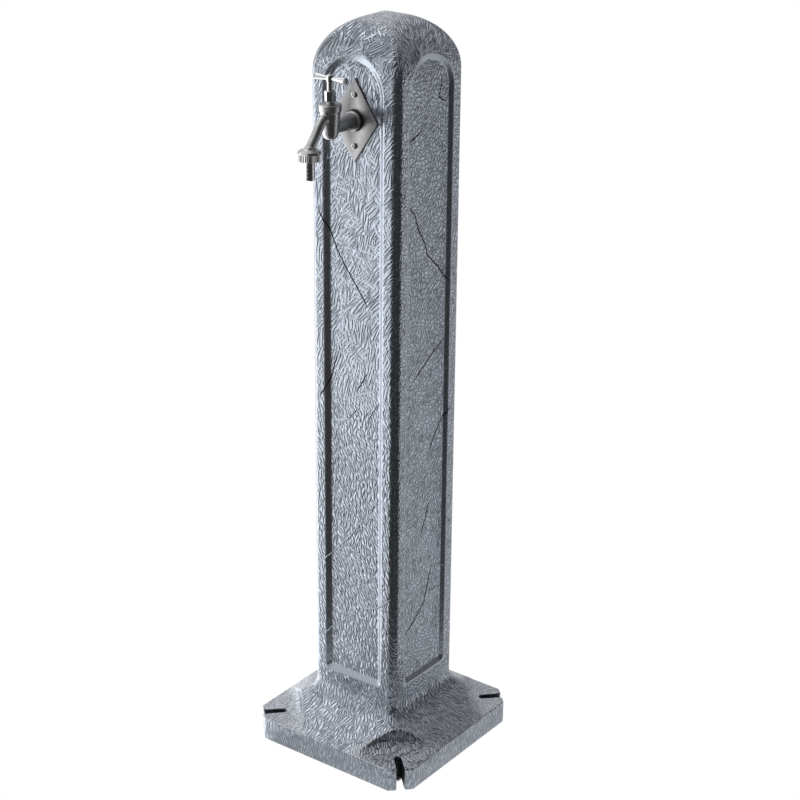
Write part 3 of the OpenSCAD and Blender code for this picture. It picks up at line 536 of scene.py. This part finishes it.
def skirtRows(form, depth, arcSteps=10):
    # from the foot of the upright edge up the slope to the top of the hollow curve
    slope, fillet = form["slope"], form["filletRadius"]
    base = form["baseHalf"] - depth
    top = form["baseHeight"] + depth * math.tan(slope) - depth / math.cos(slope)
    rows = [(-form["overrun"] if depth else 0, base), (top, base)]
    for step in range(arcSteps + 1):
        angle = 1.5 * math.pi - slope - (math.pi / 2 - slope) * step / arcSteps
        rows.append((form["flareTop"] + (fillet + depth) * math.sin(angle),
                     form["half"] + fillet + (fillet + depth) * math.cos(angle)))
    return rows


def columnSkin(form):
    # the outside of the column and dome, with rows close together where the panels end
    levels = [form["joinHeight"], form["panelLow"] + form["underSill"], form["panelLow"] + form["overSill"],
              form["arch"] + form["underArch"], form["spring"]]
    heights = []
    for low, high, step in zip(levels, levels[1:], form["rowSteps"]):
        heights = heights[:-1] + evenly(low, high, step)
    piece = squarePlan("postColumn", form, 0, heights[0], form["sideCuts"])
    raiseProfile([(height, form["half"]) for height in heights] + domeRows(form, 0, form["domeSteps"]))
    bpy.ops.mesh.merge(type="CENTER")
    objectMode()
    pressPanels(piece, form)
    return piece


def pressPanels(piece, form):
    # presses the four arched panels into the column, along the way its surface faces
    mesh = piece.data
    points = np.empty(len(mesh.vertices) * 3)
    mesh.vertices.foreach_get("co", points)
    points = points.reshape(-1, 3)
    onX = np.abs(points[:, 0]) > np.abs(points[:, 1])
    across = np.where(onX, points[:, 1], points[:, 0])
    facing = np.where(onX, np.sign(points[:, 0]), np.sign(points[:, 1]))
    height = points[:, 2]
    edge, corner, arch = form["panelHalf"], form["panelCorner"], form["arch"]
    fromSide = edge - np.abs(across)
    fromFoot = height - form["panelLow"]
    inside = np.minimum(fromSide, fromFoot)
    inCorner = (fromSide < corner) & (fromFoot < corner)
    inside = np.where(inCorner, corner - np.hypot(corner - fromSide, corner - fromFoot), inside)
    inside = np.where(height > arch, edge - np.hypot(across, height - arch), inside)
    shifts = np.linspace(-1, 1, 7) * form["edgeSoftness"]
    share = np.mean([np.clip((inside + shift) / form["panelBorder"], 0, 1) for shift in shifts], axis=0)
    lean = np.arcsin(np.clip((height - form["spring"]) / form["half"], 0, 1))
    press = share * form["panelDepth"]
    sideways = press * np.cos(lean) * facing
    points[:, 0] -= np.where(onX, sideways, 0)
    points[:, 1] -= np.where(onX, 0, sideways)
    points[:, 2] -= press * np.sin(lean)
    mesh.vertices.foreach_set("co", points.ravel())
    mesh.update()


def basePlan(form, depth, low, high):
    # the octagon of the base with its softened corners, as a block
    block = addPiece("basePlan", bpy.ops.mesh.primitive_plane_add, size=2 * (form["baseHalf"] - depth))
    setPlace(block, (0, 0, low))
    editMode(block)
    chamfer = form["baseChamfer"] - (2 - math.sqrt(2)) * depth
    bpy.ops.mesh.bevel(offset=chamfer, offset_type="OFFSET", affect="VERTICES", segments=1)
    bpy.ops.mesh.select_all(action="SELECT")
    trim = (form["chamferRound"] - depth) * math.tan(math.pi / 8)
    bpy.ops.mesh.bevel(offset=trim, offset_type="OFFSET", affect="VERTICES", segments=5)
    pickParts(block, "FACE")
    bpy.ops.mesh.extrude_region_move(TRANSFORM_OT_translate={"value": (0, 0, high - low)})
    objectMode()
    return block


def padCutters(form, depth):
    # the turned forms whose walls and coves leave the four corner pads
    halfChord = form["padReach"] / math.sqrt(2)
    chord = (2 * form["baseHalf"] - form["padReach"]) / math.sqrt(2)
    base, bow, cove, draft = form["baseHeight"], form["padBow"], form["padCove"], form["padDraft"]
    radius = (halfChord ** 2 + bow ** 2) / (2 * bow)
    axis = chord - bow + radius
    foot = radius - cove / math.tan((math.pi / 2 + draft) / 2)
    profile = [(base - depth, foot)]
    for step in range(1, form["coveSteps"] + 1):
        angle = -math.pi / 2 + (math.pi / 2 - draft) * step / form["coveSteps"]
        profile.append((base + cove + (cove + depth) * math.sin(angle),
                        foot + (cove + depth) * math.cos(angle)))
    top = form["joinHeight"] + 12 * mm
    profile.append((top, radius + (top - base) * math.tan(draft) + depth / math.cos(draft)))
    for quarter in range(4):
        angle = math.pi / 4 + quarter * math.pi / 2
        cutter = turned("padCutter", profile, form["padSegments"])
        yield setPlace(cutter, (axis * math.cos(angle), axis * math.sin(angle), 0))


def slotCutters(form, depth):
    inner, mouth = form["slotInner"], form["slotOuter"] + form["overrun"]
    low, high = -form["overrun"], form["baseHeight"] + form["overrun"]
    radius = form["slotWidth"] / 2 + depth
    ratio = (form["slotMouth"] / 2 + depth) / radius
    for quarter in range(4):
        cutter = addPiece("slotCutter", bpy.ops.mesh.primitive_cube_add, size=1)
        cutter.scale = (mouth - inner, 2 * radius, high - low)
        setPlace(cutter, ((inner + mouth) / 2, 0, (low + high) / 2))
        editMode(cutter)
        pickParts(cutter, "FACE", lambda face: face.normal.x > 0.9)
        bpy.ops.transform.resize(value=(1, ratio, 1), center_override=(mouth, 0, 0))
        objectMode()
        end = turned("slotEnd", [(low, radius), (high, radius)], 32)
        weld(cutter, setPlace(end, (inner, 0, 0)))
        yield setPlace(cutter, turn=(0, 0, 45 + 90 * quarter))


def footForm(form):
    # the solid foot, with every edge softened as a roto-moulding's are
    top = form["joinHeight"] + form["joinLap"]
    foot = squarePlan("postFoot", form, 0, 0, form["plainCuts"])
    raiseProfile([(0, form["half"])] + skirtRows(form, 0) + [(top, form["half"])])
    objectMode()
    combine(foot, basePlan(form, 0, -form["overrun"], top + form["overrun"]), "INTERSECT")
    cut(foot, *padCutters(form, 0))
    cut(foot, *slotCutters(form, 0))
    castSkin(foot, form["footVoxel"], form["footSmoothing"])
    editMode(foot)
    bpy.ops.mesh.bisect(plane_co=(0, 0, form["joinHeight"]), plane_no=(0, 0, 1), use_fill=True,
                        clear_outer=True)
    objectMode()
    return foot


def insideForm(form):
    # what the wall leaves free, from the ground to the dome
    depth, arch, edge, low = form["wall"], form["arch"], form["panelHalf"], form["panelLow"]
    size = form["half"] - depth
    inside = squarePlan("postInside", form, depth, -form["overrun"], form["plainCuts"])
    raiseProfile([(-form["overrun"], size)] + skirtRows(form, depth) + [(form["spring"], size)]
                 + domeRows(form, depth, form["insideSteps"]))
    bpy.ops.mesh.merge(type="CENTER")
    objectMode()
    for quarter in range(4):        # the backs of the panels
        block = addPiece("panelBack", bpy.ops.mesh.primitive_cube_add, size=1)
        block.scale = (2 * (edge + depth / 2), 2 * form["panelDepth"], arch - low + edge)
        setPlace(block, (0, -size, (arch + edge * 0.8 + low) / 2))
        cut(inside, setPlace(block, turn=(0, 0, 90 * quarter)))
    combine(inside, basePlan(form, depth, -2 * form["overrun"], form["height"]), "INTERSECT")
    cut(inside, *padCutters(form, depth))
    cut(inside, *slotCutters(form, depth))
    return inside


# Cracks and raised veins that the moulding shows, as places across and up a face, in mm
faceMarks = {
    "crackRadius": 1.15 * mm, "crackSink": -0.1 * mm, "veinRadius": 1.0 * mm, "veinSink": 0.2 * mm,
    "step": 3, "taperKnots": 3, "thinEnd": 0.35, "wander": ((0.5, 1.9), (0.3, 3.1)),
}
frontCracks = [
    [(-56, 761), (-48, 747), (-41, 738), (-29, 711), (-15, 690), (5, 664), (20, 643)],
    [(-27, 573), (-33, 555), (-38, 536), (-44, 523), (-55, 505)], [(20, 556), (11, 539), (2, 525)],
]
sideCracks = [
    [(-52, 802), (-58, 785)], [(-39, 776), (-27, 763), (-19, 742), (-5, 721), (1, 704), (21, 686), (44, 660)],
    [(40, 582), (10, 566), (-26, 542)], [(52, 485), (38, 472), (20, 450), (8, 429)],
    [(11, 359), (4, 337), (-7, 316)], [(20, 262), (10, 233), (3, 211), (-23, 190), (-38, 180)],
    [(24, 928), (26, 919), (20, 903), (35, 893)], [(-12, 868), (-42, 856)],
]
frontVeins = [
    [(-60, 154), (-49, 157), (-40, 169), (-6, 198), (17, 215), (39, 224), (52, 235), (62, 246)],
    [(-56, 265), (-48, 272), (-40, 281), (-9, 315), (16, 349)], [(20, 644), (39, 666)],
    [(26, 773), (38, 779), (51, 786), (61, 796)], [(-26, 791), (5, 810), (38, 827)],
    [(-19, 507), (5, 521), (35, 534)], [(-36, 475), (-11, 484), (5, 503)], [(39, 519), (27, 501), (19, 485)],
    [(-42, 825), (-17, 838)],
]
sideVeins = [[(20, 262), (47, 252), (53, 245)]]


def faceDepth(form, across, up):
    # how far the face stands out there, with its panel pressed in
    inside = min(form["panelHalf"] - abs(across), up - form["panelLow"]) / form["panelBorder"]
    return form["half"] - form["panelDepth"] * min(max(inside, 0), 1)


def closeKnots(line, gap):
    # the line's points with more between them, about that far apart
    knots = []
    for (across, up), (nextAcross, nextUp) in zip(line, line[1:]):
        count = max(1, round(math.dist((across, up), (nextAcross, nextUp)) / gap))
        knots += [(across + (nextAcross - across) * step / count, up + (nextUp - up) * step / count)
                  for step in range(count)]
    return knots + [line[-1]]


def faceLines(name, lines, form, marks, kind, turn):
    # round bars along the lines of one face, which weld to the skin or cut it
    curve = startCurve(name, marks[kind + "Radius"], 1)
    for line in lines:
        knots = closeKnots(line, marks["step"])
        spline = curve.splines.new("POLY")
        spline.points.add(len(knots) - 1)
        for index, (knot, (across, up)) in enumerate(zip(spline.points, knots)):
            wander = sum(size * math.sin(rate * index) for size, rate in marks["wander"])
            depth = marks[kind + "Sink"] - faceDepth(form, across * mm, up * mm)
            knot.co = (across * mm + wander * mm, depth, up * mm, 1)
            fromEnd = min(index, len(knots) - 1 - index) / marks["taperKnots"]
            knot.radius = marks["thinEnd"] + (1 - marks["thinEnd"]) * min(1, fromEnd)
    return curvePiece(curve, turn)


def giveSkins(piece, index=0):
    # the post's skin, the shade of its cracks and the shine of its veins, the piece taking one of them
    piece.data.materials.clear()
    for name in ("mouldedPlastic", "crackShade", "veinShine"):
        piece.data.materials.append(finishes[name])
    for face in piece.data.polygons:
        face.material_index = index
    return piece


def shadeSlots(piece, form):
    # no light reaches the walls of the four slots
    inner, mouth = form["slotInner"] - form["slotWidth"] * 0.6, form["slotOuter"] - 2 * mm
    halfWidth, top = form["slotMouth"] * 0.55, form["baseHeight"] - 1 * mm
    for face in piece.data.polygons:
        x, y, height = abs(face.center.x), abs(face.center.y), face.center.z
        along, across = (x + y) / math.sqrt(2), abs(x - y) / math.sqrt(2)
        upright = abs(face.normal.z) < 0.5
        if upright and inner < along < mouth and across < halfWidth and height < top:
            face.material_index = 1


def makePost(form, marks):
    addLevels(form)
    column = columnSkin(form)
    print("column raised:", len(column.data.polygons), "faces")
    foot = footForm(form)
    print("foot formed:", len(foot.data.polygons), "faces")
    inside = insideForm(form)
    again = inside.copy()
    again.data = inside.data.copy()
    bpy.context.scene.collection.objects.link(again)
    for piece in (column, foot):
        giveSkins(piece)
    cut(foot, inside)
    shadeSlots(foot, form)
    cut(column, again)
    for turn in (0, 180):
        cut(column, giveSkins(faceLines("frontCracks", frontCracks, form, marks, "crack", turn), 1))
        cut(column, giveSkins(faceLines("sideCracks", sideCracks, form, marks, "crack", turn + 90), 1))
        weld(column, giveSkins(faceLines("frontVeins", frontVeins, form, marks, "vein", turn), 2))
        weld(column, giveSkins(faceLines("sideVeins", sideVeins, form, marks, "vein", turn + 90), 2))
    for piece in (column, foot):
        smoothShade(piece, 40)
        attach(piece, "post")
        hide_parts("post_shell")
        print("post:", piece.name, len(piece.data.polygons), "faces")


makePost(moulding, faceMarks)


# The tap's places. The forms of its pieces are heights and radii in mm, from one end to the other
tap = {"centreHeight": 880 * mm, "plateBack": -64 * mm, "plateThick": 2 * mm, "sealThick": 1.5 * mm,
       "reach": 46 * mm, "outletReach": 40 * mm}
plateFront = tap["plateBack"] - tap["plateThick"]
barrelY = plateFront - tap["reach"]
outletY = barrelY - tap["outletReach"]
tapZ = tap["centreHeight"]


def towardsFront(piece, depth, height):
    # a piece drawn along Z, turned to grow towards the front from that depth
    return setPlace(piece, (0, depth, height), (90, 0, 0))


plateForm = {
    "half": (35 * mm, 53 * mm), "corner": 2 * mm, "edge": 0.25 * mm, "hole": [(-1, 10.5), (4, 10.5)],
}


def makePlate(form):
    plate = addPiece("diamondPlate", bpy.ops.mesh.primitive_circle_add, vertices=4, radius=1,
                     fill_type="NGON")
    plate.scale = (*form["half"], 1)
    setPlace(plate)
    editMode(plate)
    bpy.ops.mesh.bevel(offset=form["corner"], affect="VERTICES", segments=6)
    bpy.ops.mesh.extrude_region_move(TRANSFORM_OT_translate={"value": (0, 0, tap["plateThick"])})
    objectMode()
    cut(plate, turnedMm("plateHole", form["hole"]))
    softenEdges(plate, form["edge"], 2, 50)
    towardsFront(plate, tap["plateBack"], tapZ)
    finishPiece(smoothShade(plate), finishes["brushedPlate"], "post", "stainless_plate", "tap_plate")


screwForm = {
    "head": [(-12, 2.1), (0, 2.1), (0, 4.0), (0.5, 4.05), (1.3, 3.9), (1.9, 3.3), (2.3, 2.4), (2.5, 1.2)],
    "pitch": 64 * mm, "recess": {20: 4.2 * mm, 110: 4.3 * mm},         # the turn and length of each slit
    "recessWidth": 0.9 * mm, "recessLevel": 2.6 * mm,
}


def makeScrews(form):
    screws = []
    for side in (-1, 1):
        head = turnedMm("plateScrewHead", form["head"], 48)
        for angle, reach in form["recess"].items():
            blade = addPiece("crossBlade", bpy.ops.mesh.primitive_cube_add, size=1)
            blade.scale = (reach, form["recessWidth"], reach * 0.7)
            cut(head, setPlace(blade, (0, 0, form["recessLevel"]), (0, 0, angle)))
        screws.append(towardsFront(head, plateFront, tapZ + side * form["pitch"] / 2))
    pair = weld(*screws)
    finishPiece(smoothShade(pair), finishes["zincSkin"], "post", "zinc_screws", "plate_screws")


sealForm = {"ring": [(0, 13.0), (0.3, 13.35), (0.75, 13.45), (1.2, 13.3), (1.5, 12.9)],
            "hole": [(-1, 10.5), (4, 10.5)]}


def makeSeal(form):
    seal = turnedMm("flangeSeal", form["ring"], 96)
    cut(seal, turnedMm("sealHole", form["hole"]))
    towardsFront(seal, plateFront, tapZ)
    finishPiece(smoothShade(seal), finishes["blackRubber"], "post", "black_rubber", "tap_seal")


castingForm = {
    "flange": [(0, 11.9), (0.4, 12.25), (3.0, 12.25), (3.5, 11.8), (3.6, 10.9), (6, 10.3), (16, 9.3),
               (30, 8.6), (43, 8.4)],
    "barrel": [(-13, 4.5), (-12.4, 6.4), (-10.6, 8.4), (-7, 9.7), (0, 10.4), (10, 11.4), (19, 12.3),
               (21.2, 13.2), (22.4, 13.75), (29.4, 13.75), (30, 13.2)],
    "spout": [(-6, 9.5), (-13, 12.5), (-19, 8), (-29, -5), (-37, -14.5), (-40, -20)],    # depth and height
    "spoutRadius": 6 * mm,
    "collar": [(-24, 13.0), (-23.6, 13.2), (-19, 13.2), (-18.4, 12.6), (-17, 8), (-15.5, 6.4),
               (-13.5, 5.4)],
    "shank": [(-1, 10.45), (27.5, 10.45)], "inletBore": [(0, 5.5), (80, 5.5)],
    "chamber": [(-10, 6.7), (6, 6.7), (6, 4.5), (8.4, 4.5), (8.4, 9.05), (27, 9.05), (27, 10.8),
                (32, 10.8)],
    "outletBore": [(-26, 7.2), (-19, 7.2), (-17, 4)],
    "voxel": 0.45 * mm, "smoothing": 6,
}


def pipeAlong(name, path, radius):
    # a round pipe on a smooth curve through the points
    curve = startCurve(name, radius, 10)
    curve.resolution_u = 16
    spline = curve.splines.new("BEZIER")
    spline.bezier_points.add(len(path) - 1)
    for knot, place in zip(spline.bezier_points, path):
        knot.co = place
        knot.handle_left_type = knot.handle_right_type = "AUTO"
    return curvePiece(curve)


def makeTapBody(form):
    flangeBack = plateFront - tap["sealThick"]
    body = turnedMm("tapCasting", form["flange"], 96)
    towardsFront(body, flangeBack, tapZ)
    barrel = setPlace(turnedMm("barrelForm", form["barrel"], 96), (0, barrelY, tapZ))
    spoutPath = [(0, barrelY + depth * mm, tapZ + height * mm) for depth, height in form["spout"]]
    spout = pipeAlong("spoutForm", spoutPath, form["spoutRadius"])
    collar = setPlace(turnedMm("outletForm", form["collar"], 96), (0, outletY, tapZ))
    weld(body, barrel, spout, collar)
    castSkin(body, form["voxel"], form["smoothing"])
    weld(body, setPlace(turnedMm("shankForm", form["shank"], 96), (0, flangeBack, tapZ), (-90, 0, 0)))
    inletBore = setPlace(turnedMm("inletBore", form["inletBore"]), (0, barrelY, tapZ), (-90, 0, 0))
    chamber = setPlace(turnedMm("chamberBore", form["chamber"]), (0, barrelY, tapZ))
    outlet = setPlace(turnedMm("outletBore", form["outletBore"]), (0, outletY, tapZ))
    cut(body, inletBore, chamber, outlet)
    print("tap casting:", len(body.data.polygons), "faces")
    finishPiece(smoothShade(body, 40), finishes["satinChrome"], "post", "satin_chrome", "tap_body")


glandForm = {
    "hexagon": [(33, 6.93), (46, 6.93)], "edge": 0.35 * mm, "crown": [(32, 9), (44.2, 7.4), (46.2, 5.6)],
    "bore": [(32, 4.95), (43.5, 4.95), (43.5, 3.85), (47, 3.85)],
}


def makeGlandNut(form):
    nut = turnedMm("glandNut", form["hexagon"], 6)
    softenEdges(nut, form["edge"], 3, 30)
    combine(nut, turnedMm("glandCrown", form["crown"]), "INTERSECT")
    cut(nut, turnedMm("glandBore", form["bore"]))
    setPlace(nut, (0, barrelY, tapZ))
    finishPiece(smoothShade(nut, 25), finishes["brightChrome"], "post", "bright_chrome", "gland_nut")


handleForm = {
    "hub": [(56, 4.1), (56.5, 4.4), (64.2, 4.4), (64.8, 4.1), (65, 3.4)],
    "arm": [(-24, 3.9), (-23.6, 4.3), (-22.6, 4.5), (-21.6, 4.5), (-21.2, 4.1), (-15, 3.5), (-9, 2.9),
            (-4, 2.5)],
    "armHeight": 60.5 * mm, "stemHole": [(55, 3.35), (63, 3.35)], "voxel": 0.3 * mm, "smoothing": 3,
}


def makeHandle(form):
    hub = turnedMm("teeHandle", form["hub"])
    bar = form["arm"] + [(-height, size) for height, size in reversed(form["arm"])]
    weld(hub, setPlace(turnedMm("barForm", bar), (0, 0, form["armHeight"]), (0, 90, 0)))
    castSkin(hub, form["voxel"], form["smoothing"])
    cut(hub, turnedMm("stemHole", form["stemHole"], 48))
    setPlace(hub, (0, barrelY, tapZ))
    finishPiece(smoothShade(hub, 40), finishes["brightChrome"], "handle", "bright_chrome", "t_handle")


nutForm = {
    "grip": [(-30.55, 13.2), (-29.65, 14.3), (-29.45, 15), (-21.75, 15), (-21.55, 14.4), (-19.95, 14.0),
             (-19.55, 13.7)],
    "bore": [(-31.55, 6.7), (-28.55, 6.7), (-28.55, 13.25), (-18.55, 13.25)],
    "flutes": 40, "perFlute": 6, "fluteDepth": 0.5 * mm, "fluteFrom": 14.8 * mm,
}


def makeUnionNut(form):
    nut = turnedMm("knurledNut", form["grip"], form["flutes"] * form["perFlute"])
    for vertex in nut.data.vertices:        # the flutes of the grip
        radius = math.hypot(vertex.co.x, vertex.co.y)
        if radius > form["fluteFrom"]:
            wave = math.cos(form["flutes"] * math.atan2(vertex.co.y, vertex.co.x))
            pull = 1 - form["fluteDepth"] * (0.5 - 0.5 * wave) / radius
            vertex.co.x *= pull
            vertex.co.y *= pull
    cut(nut, turnedMm("nutBore", form["bore"], 96))
    setPlace(nut, (0, outletY, tapZ))
    finishPiece(smoothShade(nut, 30), finishes["brightChrome"], "union_nut", "bright_chrome", "union_nut")


tailForm = {
    "foot": -54.5, "grooves": 4, "pitch": 4.8, "radius": 6.6, "grooveDepth": 0.45,
    "tip": [(0, 4.5), (0, 6.0)], "flange": [(-28.5, 6.6), (-28.5, 11.2), (-26.5, 11.2)],
    "bore": [(-56, 4.5), (-25, 4.5)],
}


def makeHoseTail(form):
    foot, radius = form["foot"], form["radius"]
    rows = [(foot + rise, size) for rise, size in form["tip"]] + [(foot + 0.6, radius)]
    for groove in range(1, form["grooves"] + 1):
        level = foot + groove * form["pitch"]
        rows += [(level - 0.1, radius), (level, radius - form["grooveDepth"]), (level + 1, radius)]
    tail = turnedMm("hoseTail", rows + form["flange"], 96)
    cut(tail, turnedMm("tailBore", form["bore"]))
    setPlace(tail, (0, outletY, tapZ))
    finishPiece(smoothShade(tail, 30), finishes["brightChrome"], "tail", "bright_chrome", "hose_tail")


makePlate(plateForm)
makeScrews(screwForm)
makeSeal(sealForm)
makeTapBody(castingForm)
makeGlandNut(glandForm)
makeHandle(handleForm)
makeUnionNut(nutForm)
makeHoseTail(tailForm)
print("tap and its fittings made")


# The pieces that stay as they were built take their finish
keptNodes = {
    "bright_chrome": ("brightChrome", ["spindle"]),
    "zinc_screws": ("zincSkin", ["handle_screw"]),
    "satin_chrome": ("satinChrome", ["headgear"]),
    "fibre": ("redFibre", ["headgear_washer"]),
    "black_rubber": ("blackRubber", ["gland_packing", "valve_washer", "tail_washer", "inlet_seal",
                                     "nipple_oring"]),
    "brass": ("turnedBrass", ["tap_locknut", "jumper", "jumper_nut", "wall_elbow", "inlet_elbow",
                              "inlet_locknut", "inlet_nipple"]),
    "hose": ("greenHose", ["supply_hose"]),
    "clamp_steel": ("bandSteel", ["upper_clamp", "lower_clamp"]),
}
for slot, (finish, names) in keptNodes.items():
    for name in names:
        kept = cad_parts[name]
        kept.data.materials.clear()
        kept.data.materials.append(finishes[finish])
        smoothShade(kept, 30)
print("kept nodes finished")


# Floor, backdrop and studio light: bright to the left, dim behind, dark on the camera's side. Each
# light says where it starts and ends, along its way or in metres, and its strength at both
studio = {
    "brightWay": (-0.966, -0.259, 0), "darkWay": (0.707, -0.707, 0), "lampWay": (-0.55, -0.05, 0.833),
    "leftSky": (-0.3, 0.35, 0.05, 0.8), "backSky": (0.15, -0.25, 0.0, 0.4), "topSky": (0.7, 0.9, 0.0, 0.2),
    "lampSky": (0.92, 0.98, 0.0, 1.8), "plainFloor": (-0.4, 0.6, 0.73, 0.66),
    "leftFloor": (0.72, 0.95, 0.0, 1.5), "darkFloorWay": (0.3, 0.7), "darkFloorReach": (0.17, 0.36),
    "darkFloor": 0.05,
    # a painted shadow: the floor's glow is dimmed to near black under the foot
    "shadowUnderFoot": (100.5 * mm, 105.5 * mm, 0.02, 1.0), "floorSize": 12,
}


def surround(tree, way, light, onFloor):
    # how bright the floor is at that place, or the sky in that direction
    unit = vectorMaths(tree, "NORMALIZE", way)
    left, ahead = (vectorMaths(tree, "DOT_PRODUCT", unit, light[side], output="Value")
                   for side in ("brightWay", "darkWay"))
    if onFloor:
        far = vectorMaths(tree, "LENGTH", way, output="Value")
        bright = maths(tree, "ADD", between(tree, left, *light["plainFloor"]),
                       between(tree, left, *light["leftFloor"]))
        shade = maths(tree, "MULTIPLY", between(tree, ahead, *light["darkFloorWay"]),
                      between(tree, far, *light["darkFloorReach"]))
        return maths(tree, "MULTIPLY", bright, between(tree, shade, 0.0, 1.0, 1.0, light["darkFloor"]))
    above = vectorMaths(tree, "DOT_PRODUCT", unit, light["lampWay"], output="Value")
    rise = axesOf(tree, unit)[2]
    return maths(tree, "MAXIMUM", *(between(tree, value, *light[sky]) for value, sky in (
        (left, "leftSky"), (ahead, "backSky"), (rise, "topSky"), (above, "lampSky"))))


def addStage(light):
    floor = addPiece("studioFloor", bpy.ops.mesh.primitive_plane_add, size=light["floorSize"])
    material, tree, shader = startMaterial("paleFloor")
    place = node(tree, "ShaderNodeTexCoord").outputs["Object"]
    seen = node(tree, "ShaderNodeLightPath").outputs["Is Camera Ray"]
    strength = choose(tree, seen, surround(tree, place, light, True), 1.0)
    reach = maths(tree, "MAXIMUM", *(maths(tree, "ABSOLUTE", axis) for axis in axesOf(tree, place)[:2]))
    # painted shadow: the glow, white to the camera, is dimmed under the foot, where the slots show it
    strength = maths(tree, "MULTIPLY", strength, between(tree, reach, *light["shadowUnderFoot"]))
    paper = node(tree, "ShaderNodeEmission", {"Color": (1, 1, 1, 1), "Strength": strength})
    tree.links.new(paper.outputs[0], tree.nodes["Material Output"].inputs["Surface"])
    tree.nodes.remove(shader)
    floor.data.materials.append(material)
    world = bpy.data.worlds.new("studioWorld")
    bpy.context.scene.world = world
    world.use_nodes = True
    tree = world.node_tree
    background = tree.nodes["Background"]
    way = node(tree, "ShaderNodeTexCoord").outputs["Generated"]
    seen = node(tree, "ShaderNodeLightPath").outputs["Is Camera Ray"]
    tree.links.new(choose(tree, seen, surround(tree, way, light, False), 1.0), background.inputs["Strength"])
    background.inputs["Color"].default_value = (1, 1, 1, 1)


softBox = {"turn": -60, "rise": 15, "distance": 2.4, "aimHeight": 0.5, "size": (1.3, 0.6), "power": 4.5}


def addSoftBox(box):
    offset = wayFrom(box["turn"], box["rise"])
    data = bpy.data.lights.new("leftBox", "AREA")
    data.shape = "RECTANGLE"
    data.size, data.size_y = box["size"]
    data.energy = box["power"]
    lamp = bpy.data.objects.new("leftBox", data)
    bpy.context.scene.collection.objects.link(lamp)
    lamp.location = Vector((0, 0, box["aimHeight"])) + offset * box["distance"]
    lamp.rotation_euler = offset.to_track_quat("Z", "Y").to_euler()


addStage(studio)
addSoftBox(softBox)
bpy.context.scene.view_settings.view_transform = "Standard"
print("stage and light set")
